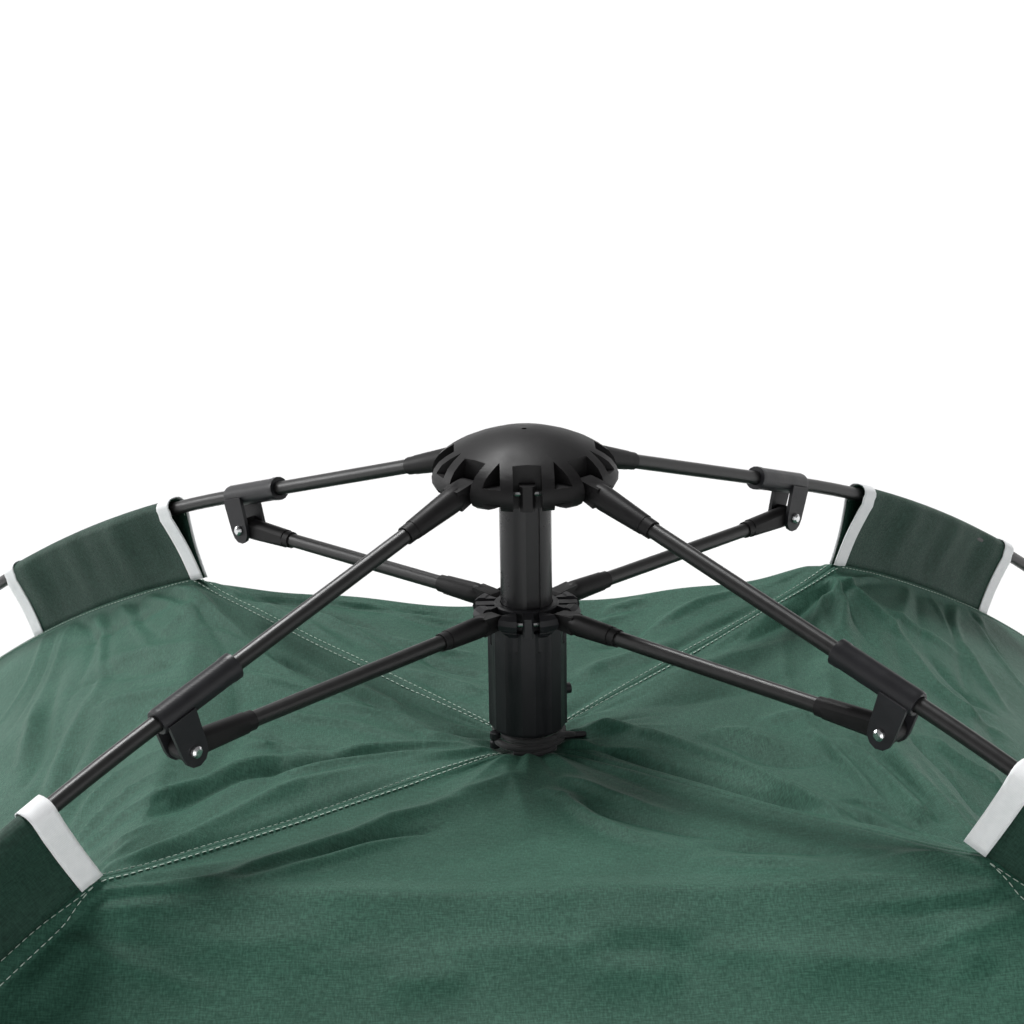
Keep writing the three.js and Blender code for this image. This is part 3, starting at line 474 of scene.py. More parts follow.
    ('front', [(0.014, 0.221, 1.238), (0.045, 0.224, 1.237), (0.083, 0.228, 1.237)], 2.4, 18, 0.3, 0.3),
    ('front', [(0.021, 0.231, 1.232), (0.049, 0.233, 1.232), (0.082, 0.235, 1.233)], -2.4, 16, 0.3, 0.3),
    ('front', [(0.016, 0.242, 1.226), (0.044, 0.242, 1.227), (0.067, 0.247, 1.225)], 2.2, 18, 0.3, 0.3),
    ('front', [(-0.078, 0.247, 1.225), (-0.054, 0.245, 1.226), (-0.036, 0.247, 1.224)], 2.0, 16, 0.3, 0.3),
    ('front', [(-0.184, 0.232, 1.246), (-0.138, 0.232, 1.239), (-0.092, 0.227, 1.238)], 1.6, 20, 0.3, 0.3),
    ('front', [(0.099, 0.249, 1.226), (0.141, 0.248, 1.23), (0.177, 0.255, 1.23)], 1.8, 20, 0.3, 0.3),
    ('front', [(-0.238, 0.264, 1.232), (-0.224, 0.247, 1.243), (-0.203, 0.23, 1.251)], 2.0, 12, 0.2, 0.5),
    ('front', [(0.201, 0.26, 1.229), (0.193, 0.24, 1.242), (0.18, 0.225, 1.25)], 2.0, 14, 0.2, 0.5),
]
G0, L0, _ = face_grid(0)
def on_face(x, v):
    """Point [across, outward, height] of the smooth face at x across, v down from the apex along the ridge rows."""
    f = float(np.interp(v, ROWS, np.arange(len(ROWS)))); i = min(int(f), len(ROWS) - 2); k = f - i
    a, b = ([float(np.interp(x, L0[m], G0[m, :, c])) for c in (1, 0, 2)] for m in (i, i + 1))
    return tuple((1 - k) * p + k * q for p, q in zip(a, b))
def crease(face, x0, v0, x1, v1, bend, amp, width, fin, fout):
    pts = []
    for q in np.linspace(0, 1, 7):
        pts.append(on_face(x0 + (x1 - x0) * q, v0 + (v1 - v0) * q - bend * 4 * q * (1 - q)))
    FOLDS.append((face, pts, amp, width, fin, fout))
def creases():
    """Fine tension creases that spread from the corners where the first webs pull on the cloth."""
    vs = float(ROWS[SHOULDER])
    half = lambda v: float(np.interp(v, ROWS, RR)) / math.sqrt(2)
    rng = np.random.default_rng(41)
    many = {("left", 1): 20, ("left", -1): 13, ("right", -1): 18, ("right", 1): 13, ("front", -1): 9, ("front", 1): 9, ("rear", 1): 7, ("rear", -1): 7}
    for (face, side), n in many.items():
        for i in range(n):
            u = (i + rng.uniform(-0.3, 0.3)) / (n - 1)
            a = (-0.015 + 0.21 * u) if face in ("left", "right") else (-0.02 + 0.05 * u)
            v0 = vs + a
            x0 = side * (half(v0) - rng.uniform(0.004, 0.012))
            reach = rng.uniform(0.10, 0.25) if face in ("left", "right") else rng.uniform(0.06, 0.15)
            turn_ = (-58 + 74 * u + rng.uniform(-7, 7)) * D
            x1 = x0 - side * reach * math.cos(turn_)
            v1 = max(0.05, v0 + reach * math.sin(turn_))
            sign = 1 if i % 2 == 0 else -0.75
            amp = rng.uniform(1.0, 1.9) * sign * (1.0 if face in ("left", "right") else 0.65)
            crease(face, x0, v0, x1, v1, rng.uniform(-0.012, 0.022), amp, rng.uniform(4.4, 8.0), 0.10, rng.uniform(0.45, 0.75))
    # long slack folds that run from wall to wall over the brow
    for face, k in (("left", 9), ("right", 8), ("front", 5)):
        for i in range(k):
            v = vs + rng.uniform(-0.06, 0.16); c = half(v)
            x0, x1 = rng.uniform(0.25, 0.9) * c, -rng.uniform(0.1, 0.8) * c
            crease(face, x0, v + rng.uniform(-0.03, 0.03), x1, v + rng.uniform(-0.03, 0.03), rng.uniform(0.0, 0.035), rng.uniform(0.9, 1.7) * rng.choice([1, -1]) * (0.5 if face == "front" else 1), rng.uniform(8, 16), 0.35, 0.35)
    # gathers round the tie at the apex
    for face in FACES:
        for i in range(7):
            x = (-0.8 + 1.6 * (i + rng.uniform(-0.25, 0.25)) / 6)
            v0, v1 = 0.012, rng.uniform(0.055, 0.13)
            crease(face, x * half(v0), v0, x * half(v1) * rng.uniform(0.75, 1.0), v1, 0.0, rng.uniform(0.7, 1.3) * (1 if i % 2 else -1), rng.uniform(3.8, 6.4), 0.12, 0.7)
creases()
def displace(name, az, P, lat, dist):
    nrm = grid_normals(P)
    n = np.array([math.cos(az * D), math.sin(az * D), 0]); t = np.array([-math.sin(az * D), math.cos(az * D), 0])
    h = np.zeros(P.shape[:-1])
    for face, pts, amp, width, fin, fout in FOLDS:
        if face != name: continue
        line = np.array([n * p[1] + t * p[0] + np.array([0, 0, p[2]]) for p in pts])
        lo, hi = line.min(0) - 4 * width * 1e-3, line.max(0) + 4 * width * 1e-3
        if not np.all((P.reshape(-1, 3).max(0) > lo) & (P.reshape(-1, 3).min(0) < hi)): continue
        d, s = dist_to_line(P, line)
        prof = np.exp(-(d / (width * 0.66e-3)) ** 1.7)
        taper = np.clip(s / max(fin, 1e-3), 0, 1) ** 0.7 * np.clip((1 - s) / max(fout, 1e-3), 0, 1) ** 0.9
        h += FOLD_GAIN * amp / (1 + abs(amp) / 7) * 1e-3 * prof * taper
    # soft unevenness all over, from smooth sums of waves
    rng = np.random.default_rng(int(az) + 7)
    X, Z = lat, P[..., 2]
    for _ in range(14):
        k = rng.uniform(4, 26); th = rng.uniform(0, math.pi); ph = rng.uniform(0, 2 * math.pi)
        a = 0.0011 * (8 / (k + 4))
        h += a * np.sin(k * (X * math.cos(th) + Z * math.sin(th)) * 2 * math.pi / 2 + ph)
    # quiet at the seams, the apex and the hem; both sides of a seam agree there
    edge = np.clip(dist / 0.014, 0, 1); edge = edge * edge * (3 - 2 * edge)
    top = np.clip((RR - 0.0135) / 0.02, 0, 1)[:, None]
    hem = np.clip((P[..., 2] - HEM) / 0.03, 0, 1)
    h = h * edge * top * hem
    # the felled seam's double thickness beside the ridge
    edge_at = np.where(RR > RR[SHOULDER], 0.0130, 0.0064)[:, None] if name in ("front", "rear") else 0.0064
    h += 0.0009 * np.clip(dist / 0.0012, 0, 1) * np.clip((edge_at - dist) / 0.0012, 0, 1) * np.clip(RR / 0.03 - 0.4, 0, 1)[:, None]
    return P + nrm * h[..., None]

def arm_of(face, side):
    """The arm at the face's lower (-1) or upper (+1) across side."""
    az = FACES[face] + 45 * side
    return [k for k, v in ARMS.items() if (v - az) % 360 == 0][0]
GRIDS = {}
TURN = RR[SHOULDER] / math.sqrt(2)
BANDS = 26
def band_rows():
    """Row numbers where one wall band ends and the next begins, closer together where the poles swing further."""
    swing = np.hypot(RR, RZ)
    step = np.concatenate([[0], np.cumsum(0.5 * (swing[1:] + swing[:-1]) * np.abs(np.diff(np.log(RR))))])
    at = np.linspace(step[SHOULDER], step[-1], BANDS + 1)
    cuts = [SHOULDER]
    for k in range(1, BANDS):
        cuts.append(max(int(np.searchsorted(step, at[k])), cuts[-1] + 1))
    return cuts + [len(RR) - 1]
CUTS = band_rows()
def follow(ob, face, side, pts, share):
    """Cloth whose transform is baked where it stands.
    share is how far each point is from the middle to the ridge, 0 to 1; a plane is fitted to it."""
    az = FACES[face] * D
    n = np.array([math.cos(az), math.sin(az), 0]); t = np.array([-math.sin(az), math.cos(az), 0]) * side
    pts, share = pts.reshape(-1, 3), share.reshape(-1)
    A = np.stack([pts @ t, pts @ n, np.ones(len(pts))], -1)
    w = np.sqrt(0.02 + share * (1 - share))
    g = np.linalg.lstsq(A * w[:, None], ((share - 0.03) / 0.945) * w, rcond=None)[0]
    k = g[0] * g[0] + g[1] * g[1]
    start = -g[2] / k * (g[0] * t + g[1] * n); end = start + (g[0] * t + g[1] * n) / k
    start[2] = end[2] = H
    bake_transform(ob)
def share_of(rows, lat):
    """How far across its half face each point of the given rows lies; the dish keeps the shoulder's measure."""
    return np.clip(np.abs(lat) / np.maximum(RR[rows], RR[SHOULDER])[:, None] * math.sqrt(2), 0, 1)
def build_canopy():
    for face, az in FACES.items():
        P, lat, dist = face_grid(az)
        Q = displace(face, az, P, lat, dist)
        nrm = grid_normals(Q)
        GRIDS[face] = (Q, nrm, lat, dist)
        mid = Q.shape[1] // 2
        vlen = np.repeat(ROWS[:, None], Q.shape[1], 1)
        for side in (-1, 1):
            sl = slice(0, mid + 1) if side < 0 else slice(mid, None)
            tag = arm_of(face, side)
            cuts = [0] + CUTS
            for k in range(len(cuts) - 1):
                i, j = cuts[k], cuts[k + 1] + 1
                e = min(j + 2, len(RR))                     # each band laps a little way under the next
                q, nn, pp = Q[i:e, sl].copy(), nrm[i:e, sl], P[i:e, sl]
                for m in range(j, e):
                    q[m - i] -= nn[m - i] * (0.0011 if RR[m] < 0.6 else 0.0018)
                f = grid_faces(*q.shape[:2])[:, ::-1]
                uv = np.stack([lat[i:e, sl], vlen[i:e, sl]], -1).reshape(-1, 2)
                ob = mesh_object(f"canopy_{face}_{tag}_{k:02d}", q.reshape(-1, 3), f, GREEN, uv, True, nn.reshape(-1, 3))
                follow(ob, face, side, Q[i:j, sl], share_of(np.arange(i, j), lat[i:j, sl]))
build_canopy()
for tag in ARMS:
    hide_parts(f"canopy_{tag}")

# ------------------------------------------------------------------ stitching
STITCH = [(-1, 0, 0), (-0.55, 0.5, 0.35), (-0.55, -0.5, 0.35), (0.55, 0.5, 0.35), (0.55, -0.5, 0.35), (1, 0, 0), (-0.55, 0, -0.6), (0.55, 0, -0.6)]
STITCH_F = [(0, 2, 1), (1, 2, 4, 3), (3, 4, 5), (0, 1, 6), (6, 1, 3, 7), (7, 3, 5), (0, 6, 2), (2, 6, 7, 4), (4, 7, 5)]
def stitches(line, nrm, length=0.0034, gap=0.0009, r=0.00048, lift=0.0003):
    """Short thread stitches laid along a line on the cloth."""
    seg = np.concatenate([[0], np.cumsum(np.linalg.norm(np.diff(line, axis=0), axis=1))])
    V, F = [], []
    s = gap
    base = np.array(STITCH)
    while s + length < seg[-1]:
        a = np.array([np.interp(s, seg, line[:, k]) for k in range(3)])
        b = np.array([np.interp(s + length, seg, line[:, k]) for k in range(3)])
        m = np.array([np.interp(s + length / 2, seg, nrm[:, k]) for k in range(3)]); m /= np.linalg.norm(m)
        d = (b - a) / 2
        w = np.cross(m, d); w /= np.linalg.norm(w)
        o = len(V)
        c = (a + b) / 2 + m * lift
        for p in base:
            V.append(c + d * p[0] + w * p[1] * r + m * p[2] * r)
        F += [tuple(o + i for i in f) for f in STITCH_F]
        s += length + gap
    return V, F
# ------------------------------------------------------------------ webs: cloth loops round the pole, sewn to the ridge
def ridge_depth(s):
    """How far the ridge seam lies under the pole at length s."""
    s0 = len_at(0.32)
    t = max(0.0, ((s - s0) / (LENGTH - s0) - 0.6) / 0.4)
    return WEB - 0.022 * t * t
def web_section(s, slant=0.0, top=0.0062, gap=0.0007):
    """Loop round the pole at length s and down to the ridge: radius, across, height. slant leans it towards the hub."""
    depth = ridge_depth(s) + 0.0010
    down = [(depth, gap), (depth * 0.9, gap + 0.0001), (depth * 0.8, gap + 0.0003), (depth * 0.7, gap + 0.0006), (depth * 0.6, gap + 0.0010), (depth * 0.5, 0.0023), (depth * 0.4, 0.0031), (depth * 0.3, 0.0040), (0.0095, 0.0050), (0.0055, 0.0060)]
    half = down + [(-top * math.cos(q * D), top * math.sin(q * D)) for q in (110, 88, 66, 44, 22, 0)]
    full = half + [(d, -y) for d, y in half[::-1][1:]]
    pts = []
    for d, y in full:
        x, z, a = pole(s - slant * max(0.0, d) / WEB)
        pts.append((x - d * math.sin(a * D), y, z - d * math.cos(a * D) + H))
    return np.array(pts), np.concatenate([[0], np.cumsum(np.linalg.norm(np.diff(np.array(full), axis=0), axis=1))])
def web_strip(name, tag, s0, s1, mat, lift=0.0, step=0.006, wobble=True, seed=0, slant=(0.0, 0.0)):
    n = max(2, int(math.ceil((s1 - s0) / step)) + 1)
    V, UV = [], []
    ph = np.random.default_rng(seed).uniform(0, 6.28, 6)
    for i in range(n):
        q = i / (n - 1)
        s = s0 + (s1 - s0) * q
        p, along = web_section(s, slant[0] + (slant[1] - slant[0]) * q)
        m = len(p) // 2
        if wobble:
            k = np.linspace(0, 1, len(p))
            env = np.sin(math.pi * np.clip(k * 2, 0, 1)) + np.sin(math.pi * np.clip(k * 2 - 1, 0, 1))
            wave = np.sin(2 * math.pi * 1.6 * q + ph[0] + 1.3 * k) + 0.7 * np.sin(2 * math.pi * 3.4 * q + ph[1] - 2 * k) + 0.4 * np.sin(2 * math.pi * 7.3 * q + ph[2] + 2 * k)
            p[:, 1] += 0.0016 * wave * env * min(1, q * 9, (1 - q) * 9)
        if lift:
            sgn = np.where(np.arange(len(p)) < m, 1.0, -1.0); sgn[m] = 0
            p[:, 1] += sgn * lift
            p[m - 5:m + 6, 2] += lift
        V.append(p); UV.append(np.stack([along, np.full(len(p), s)], -1))
    V = np.array(V); UV = np.array(UV)
    rows, cols = V.shape[:2]
    return mesh_object(name, turn(V.reshape(-1, 3), ARMS[tag]), grid_faces(rows, cols), mat, UV.reshape(-1, 2))
FIRST_WEB = {"fl": 0.323, "fr": 0.314, "rl": 0.317, "rr": 0.323}    # where each first web begins, by radius
def web_spans(tag):
    a, b = len_at(FIRST_WEB[tag]), len_at(0.517)
    spans = [(a, b, 0.009)]
    for c in (0.80, 1.26, 1.54, 1.82):
        spans.append((c - 0.088, c + 0.088, 0.004))
    return spans
def solidify(ob, t, offset=0.0):
    m = ob.modifiers.new("thickness", "SOLIDIFY"); m.thickness = t; m.offset = offset
    return ob
def hold(ob, tag, k, s):
    """The upper webs go with the pole; the lower ones, sewn to the ridge below, have their transform baked where they
    stand.
    """
    if k < 3:
        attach(ob, f"pole_{tag}")
        return
    x, z, a = pole(s)
    u = np.array([[x - d * math.sin(a * D), 0, z - d * math.cos(a * D) + H] for d in (ridge_depth(s) - 0.003, 0.010)])
    u = turn(u, ARMS[tag])
    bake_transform(ob)
for tag in ARMS:
    for k, (a, b, lean) in enumerate(web_spans(tag), 1):
        ob = web_strip(f"web_{k}_{tag}", tag, a, b, GREEN_WEB, seed=10 * k + ARMS[tag], slant=(lean, 0.0))
        hold(ob, tag, k, (a + b) / 2)
        solidify(ob, 0.0005)
        if k == 1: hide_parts(f"web_{tag}")
        for e, (p, q, l0) in enumerate(((a - 0.0015, a + 0.0120, lean), (b - 0.0120, b + 0.0015, 0.0)), 1):
            t = web_strip(f"web_{k}_binding_{e}_{tag}", tag, p, q, TAPE, lift=0.0011, step=0.0022, wobble=False, slant=(l0, l0))
            hold(t, tag, k, (a + b) / 2)
            solidify(t, 0.0006)
            # the binding's own line of stitches, near its outer edge
            st = p + 0.0030 if e == 1 else q - 0.0030
            for sg in (1, -1):
                line, nn = [], []
                for d in np.linspace(0.003, ridge_depth(st) - 0.003, 14):
                    x, z, aa = pole(st - l0 * d / WEB)
                    line.append((x - d * math.sin(aa * D), sg * (0.0064 - 0.0042 * min(1, d / 0.03)), z - d * math.cos(aa * D) + H)); nn.append((0, sg, 0))
                v, f = stitches(np.array(line), np.array(nn, float), 0.0024, 0.0012, 0.00026, 0.0)
                o = mesh_object(f"web_{k}_stitch_{e}{'ab'[sg < 0]}_{tag}", turn(v, ARMS[tag]), f, THREAD, [(0, 0)] * len(v), True)
                hold(o, tag, k, (a + b) / 2)

def seam_rows():
    for face in FACES:
        Q, nrm, lat, dist = GRIDS[face]
        for side in (-1, 1):
            tag = arm_of(face, side)
            col = lambda c: c if side < 0 else Q.shape[1] - 1 - c
            dish = (int(np.searchsorted(RR, 0.020)), SHOULDER + 1)
            wall = (SHOULDER, len(RR))
            rows = [("dish", dish, 3)]                     # 4.8 mm from the ridge
            rows += [("wall_a", wall, 1), ("wall_b", wall, 6)] if face in ("front", "rear") else [("wall", wall, 3)]
            for part, (i0, i1), c in rows:
                # on the front right ridge the seam is turned under as far as the shoulder
                if tag == "fr" and part == "dish": continue
                j = col(c)
                pts, nn = Q[i0:i1, j].copy(), nrm[i0:i1, j]
                if part == "wall_a" or part == "wall_b":
                    # both lines start from the dish's single line and part over the shoulder
                    k = np.clip((ROWS[i0:i1] - ROWS[i0]) / 0.035, 0, 1)[:, None]
                    k = k * k * (3 - 2 * k)
                    pts = Q[i0:i1, col(3)] * (1 - k) + pts * k
                v, f = stitches(pts, nn)
                ob = mesh_object(f"stitches_{face}_{tag}_{part}", v, f, THREAD, [(0, 0)] * len(v), True)
                if part == "dish":
                    sl = slice(0, Q.shape[1] // 2 + 1) if side < 0 else slice(Q.shape[1] // 2, None)
                    follow(ob, face, side, Q[0:SHOULDER + 1, sl], share_of(np.arange(0, SHOULDER + 1), lat[0:SHOULDER + 1, sl]))
                else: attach(ob, f"pole_{tag}")
seam_rows()

# ------------------------------------------------------------------ hem, door zip, corner loops and apex tie
def strip_on(name, pts, nrm, across, width, mat, lift, uv_scale=1.0, thick=0.0007):
    """A tape laid along a line on the cloth: across is the tape's width direction at each point."""
    pts, nrm, across = (np.asarray(v, float) for v in (pts, nrm, across))
    s = np.concatenate([[0], np.cumsum(np.linalg.norm(np.diff(pts, axis=0), axis=1))])
    ks = (-0.5, -0.42, -0.15, 0.15, 0.42, 0.5)
    V = np.array([[p + a * (k * width) + n * (lift if abs(k) < 0.49 else lift * 0.35) for k in ks] for p, n, a in zip(pts, nrm, across)])
    uv = np.array([[(k * width, si) for k in ks] for si in s])
    ob = mesh_object(name, V.reshape(-1, 3), grid_faces(len(pts), len(ks)), mat, uv.reshape(-1, 2))
    return solidify(ob, thick)
def hem_and_door():
    for face, az in FACES.items():
        Q, nrm, lat, dist = GRIDS[face]
        mid = Q.shape[1] // 2
        t = np.array([-math.sin(az * D), math.cos(az * D), 0])
        for side in (-1, 1):
            tag = arm_of(face, side)
            sl = slice(0, mid + 1) if side < 0 else slice(mid, None)
            last = (Q[CUTS[-2]:, sl], share_of(np.arange(CUTS[-2], len(RR)), lat[CUTS[-2]:, sl]))
            row = Q[-1, sl]; up = Q[-2, sl] - row; up /= np.linalg.norm(up, axis=1)[:, None]
            out = nrm[-1, sl]
            ob = strip_on(f"hem_{face}_{tag}", row + up * 0.0115, out, up, 0.021, TAPE_DARK, 0.0012)
            follow(ob, face, side, *last)
            for r, d in (("a", 0.0035), ("b", 0.0195)):
                v, f = stitches(row + up * d, out, 0.0034, 0.0016, 0.0004, 0.0019)
                o = mesh_object(f"hem_stitches_{r}_{face}_{tag}", v, f, THREAD, [(0, 0)] * len(v), True)
                follow(o, face, side, *last)
    # zip down the middle of the front
    Q, nrm, lat, dist = GRIDS["front"]
    mid = Q.shape[1] // 2
    rows = [i for i in range(len(RR)) if 0.045 < Q[i, mid, 2] < 0.98]
    line, nn = Q[rows, mid], nrm[rows, mid]
    x = np.tile([1.0, 0, 0], (len(rows), 1))
    for nm, off_x, w, mat, lift in (("zip_tape", 0.0, 0.030, TAPE_DARK, 0.0010), ("zip_flap", 0.006, 0.034, GREEN, 0.0026)):
        ob = strip_on(nm, line + np.array([off_x, 0, 0]), nn, x, w, mat, lift)
        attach(ob, "root")
    for e, dx in (("a", -0.0085), ("b", 0.0205)):
        v, f = stitches(line + np.array([dx, 0, 0]) + nn * 0.0030, nn, 0.0034, 0.0016, 0.0004, 0.0004)
        o = mesh_object(f"zip_stitches_{e}", v, f, THREAD, [(0, 0)] * len(v), True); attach(o, "root")
    # slider and its pull, at the bottom of the zip
    c, n0 = line[-1] + np.array([-0.004, 0, 0.006]), nn[-1]
    V, F = [], []
    for z0, w, d in ((0.010, 0.0035, 0.0040), (0.007, 0.0050, 0.0058), (0.0, 0.0052, 0.0062), (-0.006, 0.0040, 0.0050), (-0.008, 0.0030, 0.0038)):
        for k in range(12):
            q = 2 * math.pi * k / 12
            V.append(c + np.array([w * math.cos(q), 0, z0]) + n0 * (0.004 + d * 0.5 * math.sin(q)))
    F = [tuple(f) for f in grid_faces(5, 12, closed=True)] + [tuple(range(11, -1, -1)), tuple(range(48, 60))]
    o = mesh_object("zip_slider", V, F, ZIPM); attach(o, "root")
    pull = c + n0 * 0.0078
    V = [pull + np.array([w, 0, z]) + n0 * y for z in (-0.001, -0.012, -0.030, -0.034) for w, y in ((-0.0022, 0), (0.0022, 0), (0.0026, 0.0012), (-0.0026, 0.0012))]
    F = [tuple(f) for f in grid_faces(4, 4, closed=True)] + [(3, 2, 1, 0), (12, 13, 14, 15)]
    o = mesh_object("zip_pull", V, F, ZIPM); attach(o, "root")
    # webbing loop from each corner of the hem round its pole
    for tag in ARMS:
        zs = 0.040
        s_at = min(np.linspace(LENGTH - 0.25, LENGTH, 400), key=lambda q: abs(pole(q)[1] + H - zs))
        px_, pz_, pa = pole(s_at)
        rc = float(np.interp(zs, (RZ + H)[::-1][:60], RR[::-1][:60]))
        dx = px_ - rc
        loop = [(-dx - 0.004, 0.0), (-dx + 0.004, 0.0022), (-0.010, 0.0034), (-0.004, 0.0056), (0.0, 0.0062)] + [(0.0062 * math.sin(q * D), 0.0062 * math.cos(q * D)) for q in (25, 50, 75, 90)]
        loop += [(u, -v) for u, v in loop[::-1][1:]]
        V, UV = [], []
        acc = 0.0
        for i, (u, v) in enumerate(loop):
            if i: acc += math.hypot(u - loop[i - 1][0], v - loop[i - 1][1])
            for k, z in enumerate((-0.0125, -0.009, 0.0, 0.009, 0.0125)):
                V.append((px_ + u - z * 0.16, v, zs + z)); UV.append((z, acc))
        o = mesh_object(f"corner_loop_{tag}", turn(V, ARMS[tag]), grid_faces(len(loop), 5), TAPE_BLACK, UV)
        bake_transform(o); solidify(o, 0.0012)
def cord_run(name, pts, r, body="runner", seg=10, mat=None):
    """A short stretch of tied cord through the given points, rounded at each one."""
    P = np.array(pts, float)
    out = []
    n = len(P)
    for i in range(n - 1):
        p0, p1, p2, p3 = P[max(i - 1, 0)], P[i], P[i + 1], P[min(i + 2, n - 1)]
        for u in np.linspace(0, 1, 9, endpoint=False):
            out.append(0.5 * ((2 * p1) + (p2 - p0) * u + (2 * p0 - 5 * p1 + 4 * p2 - p3) * u * u + (3 * p1 - p0 - 3 * p2 + p3) * u ** 3))
    out.append(P[-1])
    out = np.array(out)
    tan = np.gradient(out, axis=0); tan /= np.linalg.norm(tan, axis=1)[:, None]
    ref = np.array([0, 0, 1.0])
    V, UV, acc = [], [], 0.0
    for i, (p, t) in enumerate(zip(out, tan)):
        if i: acc += float(np.linalg.norm(p - out[i - 1]))
        a = np.cross(t, ref); a /= np.linalg.norm(a) + 1e-9; b = np.cross(t, a)
        k = r * (1 if 0 < i < len(out) - 1 else 0.55)
        for j in range(seg):
            q = 2 * math.pi * j / seg
            V.append(p + k * (math.cos(q) * a + math.sin(q) * b)); UV.append((r * q, acc))
    F = [tuple(f) for f in grid_faces(len(out), seg, closed=True)]
    m = len(out)
    F += [tuple(range(seg - 1, -1, -1)), tuple((m - 1) * seg + k for k in range(seg))]
    ob = mesh_object(name, V, F, mat or CORDM, UV)
    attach(ob, body)
    return ob
def apex_tie():
    z = H - 0.1565
    cord_run("tie_loop_1", [(-0.0185, -0.0065, z), (-0.0170, -0.0120, z - 0.0004), (-0.0105, -0.0180, z - 0.0010), (0.0, -0.0200, z - 0.0012), (0.0105, -0.0178, z - 0.0006), (0.0180, -0.0100, z), (0.0200, 0.0, z + 0.0006)], 0.0021)
    cord_run("tie_loop_2", [(-0.0150, -0.0095, z + 0.0030), (-0.0080, -0.0172, z + 0.0028), (0.0020, -0.0188, z + 0.0022), (0.0120, -0.0160, z + 0.0024), (0.0185, -0.0075, z + 0.0020), (0.0190, 0.0060, z + 0.0020), (0.0100, 0.0165, z + 0.0020), (-0.0080, 0.0175, z + 0.0020), (-0.0180, 0.0070, z + 0.0020), (-0.0178, -0.0030, z + 0.0020)], 0.0020)
    cord_run("tie_loop_3", [(-0.0090, -0.0188, z - 0.0036), (0.0010, -0.0212, z - 0.0042), (0.0090, -0.0196, z - 0.0038), (0.0140, -0.0156, z - 0.0020), (0.0082, -0.0178, z + 0.0014), (-0.0020, -0.0196, z + 0.0002)], 0.0019)
    cord_run("tie_tail", [(0.0090, -0.0165, z + 0.0006), (0.0150, -0.0135, z + 0.0030), (0.0205, -0.0095, z + 0.0026), (0.0262, -0.0070, z + 0.0010)], 0.0018)
    # cords down through the apex of the canopy
    cord_run("tie_drop_1", [(-0.0048, -0.0072, z + 0.0004), (-0.0050, -0.0066, z - 0.0050), (-0.0034, -0.0042, z - 0.0100), (0.0, 0.0, z - 0.0150)], 0.0018)
    cord_run("tie_drop_2", [(0.0052, -0.0070, z + 0.0004), (0.0050, -0.0062, z - 0.0055), (0.0032, -0.0040, z - 0.0100), (0.0, 0.0, z - 0.0155)], 0.0018)
hem_and_door()
apex_tie()

# ------------------------------------------------------------------ rods, rebuilt round
def sweep(pts, r, seg=20):
    pts = np.asarray(pts, float)
    V, UV = [], []
    tan = np.gradient(pts, axis=0); tan /= np.linalg.norm(tan, axis=1)[:, None]
    s = np.concatenate([[0], np.cumsum(np.linalg.norm(np.diff(pts, axis=0), axis=1))])
    for i, (p, t) in enumerate(zip(pts, tan)):
        side = np.array([0, 1.0, 0]); up = np.cross(t, side)
        for k in range(seg):
            a = 2 * math.pi * k / seg
            V.append(p + r * (math.cos(a) * side + math.sin(a) * up))
            UV.append((r * a, s[i]))
    F = [tuple(f) for f in grid_faces(len(pts), seg, closed=True)]
    n = len(pts)
    F += [tuple(range(seg - 1, -1, -1)), tuple((n - 1) * seg + k for k in range(seg))]
    return np.array(V), F, UV
def rod_piece(name, tag, body, pts, node, r=ROD):
    V, F, UV = sweep(pts, r)
    ob = mesh_object(name, turn(V, ARMS[tag]), F, RODM, UV)
    ob.data.polygons[-1].use_smooth = ob.data.polygons[-2].use_smooth = False
    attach(ob, body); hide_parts(node)
    return ob
SF = STRETCH[3][1]
for tag in ARMS:
    for name, body, a, b, node in ((f"rod_upper_{tag}", f"pole_{tag}", 0.024, SF + 0.046, f"pole_upper_{tag}"), (f"rod_lower_{tag}", f"leg_{tag}", SF + 0.0475, LENGTH, f"pole_lower_{tag}")):
        n = int((b - a) / 0.012)
        pts = []
        for i in range(n + 1):
            x, z, _ = pole(a + (b - a) * i / n)
            pts.append((x, 0, z + H))
        rod_piece(name, tag, body, pts, node)
    zr = H - 0.081
    sx, sz = 0.242 - R2, -0.085 + 0.081
    L = math.hypot(sx, sz); u = np.array([sx / L, 0, sz / L])
    rod_piece(f"rod_strut_{tag}", tag, f"strut_{tag}", [np.array([R2, 0, zr]) + u * (0.022 + (L - 0.045) * k / 12) for k in range(13)], f"strut_rod_{tag}")

# ------------------------------------------------------------------ hard parts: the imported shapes, with their edges joined, rounded and smooth
bpy.context.view_layer.update()
def finish_node(node, mat, angle=28, bevel=0.0):
    src = frame["nodes"][node]
    bm = bmesh.new(); bm.from_mesh(src.data); bm.transform(src.matrix_world)
    bmesh.ops.remove_doubles(bm, verts=bm.verts, dist=2e-6)
    bmesh.ops.dissolve_limit(bm, angle_limit=0.4 * D, verts=bm.verts, edges=bm.edges)
    bm.normal_update()
    idx = {v: i for i, v in enumerate(bm.verts)}
    ob = mesh_object(f"{node}_body", [v.co for v in bm.verts], [[idx[v] for v in f.verts] for f in bm.faces], mat)
    bm.free()
    ob.data.set_sharp_from_angle(angle=angle * D)
    if bevel:
        m = ob.modifiers.new("edges", "BEVEL"); m.width = bevel; m.segments = 2; m.limit_method = "ANGLE"; m.angle_limit = angle * D
        m.harden_normals = True
    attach(ob, src["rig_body"]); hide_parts(node)
    return ob
BEV = {"top_hub": 0.00045, "runner": 0.0003, "pole_socket": 0.0003, "t_joint": 0.0004, "strut_eye": 0.0003, "strut_end": 0.0003, "foot": 0.0004, "cord_lock": 0.0003}
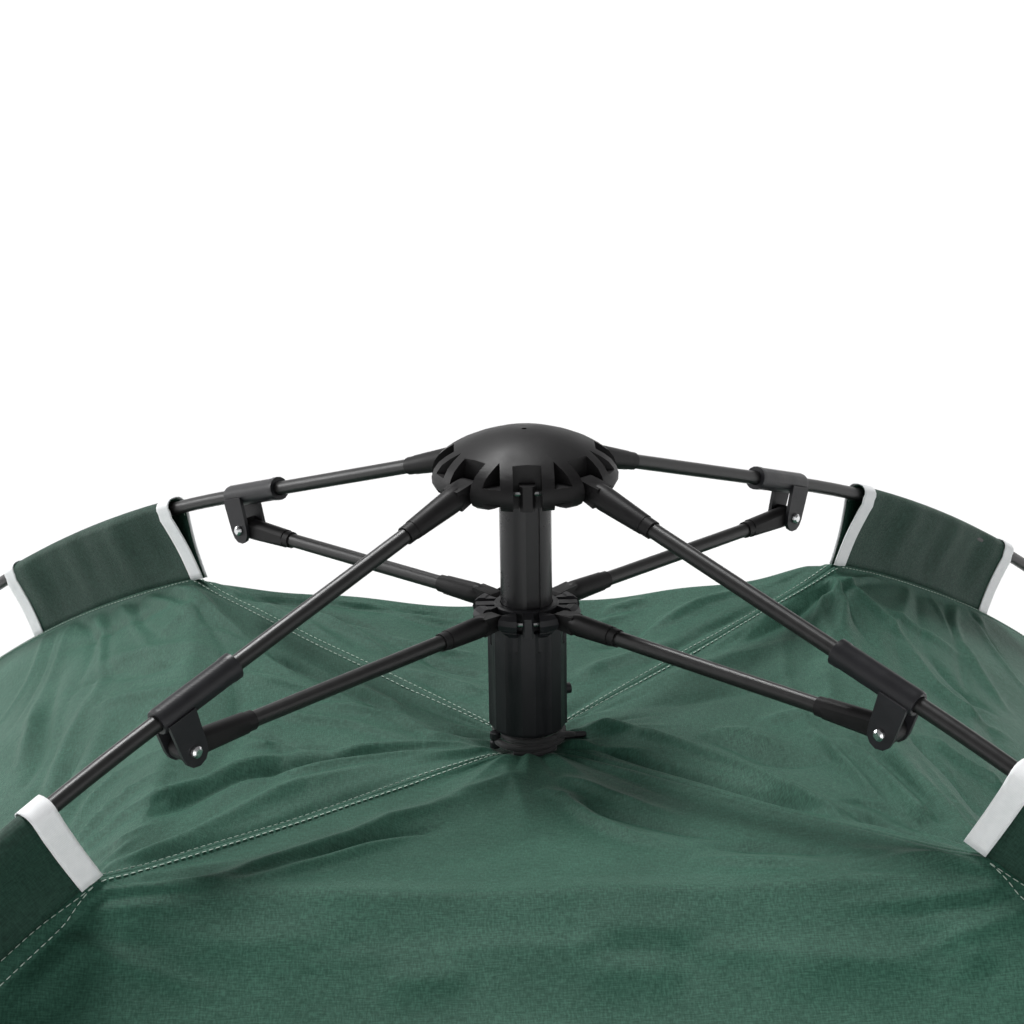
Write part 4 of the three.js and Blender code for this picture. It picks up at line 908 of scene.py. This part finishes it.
for n, m in {"top_hub": HUB, "hub_ring_wire": STEEL, "centre_tube": TUBEM, "runner": DARKP, "runner_ring_wire": STEEL, "cord_lock": DARKP, "toggle_bar": DARKP}.items():
    finish_node(n, m, bevel=BEV.get(n, 0.0))
cord = frame["nodes"]["tie_cord"]
cord.data.materials.clear(); cord.data.materials.append(CORDM)
for tag in ARMS:
    for n, m in {"pole_socket": HUB, "t_joint": DARKP, "strut_eye": HUB, "strut_end": HUB, "rivet_a": STEEL, "rivet_b": STEEL, "ferrule": FERR, "foot": HUB}.items():
        finish_node(f"{n}_{tag}", m, bevel=BEV.get(n, 0.0))

# ------------------------------------------------------------------ floor and light
def stage():
    me = bpy.data.meshes.new("floor")
    me.from_pydata([(-90, -90, 0), (90, -90, 0), (90, 90, 0), (-90, 90, 0)], [], [(0, 1, 2, 3)])
    ob = bpy.data.objects.new("floor", me); SC.collection.objects.link(ob)
    m, nt, b = nodes_of("floor")
    b.inputs["Base Color"].default_value = (0.93, 0.93, 0.93, 1)
    b.inputs["Roughness"].default_value = 0.9
    b.inputs["Specular IOR Level"].default_value = 0.1
    me.materials.append(m)
    w = bpy.data.worlds.new("world"); SC.world = w
    w.use_nodes = True
    bg = w.node_tree.nodes["Background"]
    # a studio cove: white round the horizon, dimmer overhead
    nt = w.node_tree
    geo = nt.nodes.new("ShaderNodeTexCoord").outputs["Generated"]
    sep = nt.nodes.new("ShaderNodeSeparateXYZ"); link(nt, geo, sep.inputs[0])
    link(nt, ramp(nt, sep.outputs["Z"], [(0.0, (1, 1, 1)), (0.20, (1, 1, 1)), (0.44, (0.20, 0.20, 0.20)), (1.0, (0.17, 0.17, 0.17))]), bg.inputs["Color"])
    bg.inputs["Strength"].default_value = 1.0
    sun = bpy.data.lights.new("sun", "SUN"); sun.energy = 2.95; sun.angle = 18 * D
    o = bpy.data.objects.new("sun", sun); SC.collection.objects.link(o)
    o.rotation_mode = "QUATERNION"
    o.rotation_quaternion = Vector((0.22, -0.44, -1.0)).to_track_quat("-Z", "Y")
    def area(name, loc, target, size, energy):
        l = bpy.data.lights.new(name, "AREA"); l.shape = "RECTANGLE"; l.size, l.size_y = size; l.energy = energy
        q = bpy.data.objects.new(name, l); SC.collection.objects.link(q)
        q.location = loc
        q.rotation_mode = "QUATERNION"
        q.rotation_quaternion = (Vector(target) - Vector(loc)).to_track_quat("-Z", "Y")
    area("strip", (-2.0, 0.8, 2.2), (0, 0, 1.3), (0.5, 1.6), 22)
    area("front", (0.2, -3.4, 0.9), (0, 0, 0.9), (3.0, 1.3), 11)
    SC.view_settings.view_transform = "Standard"
    SC.view_settings.look = "None"
stage()
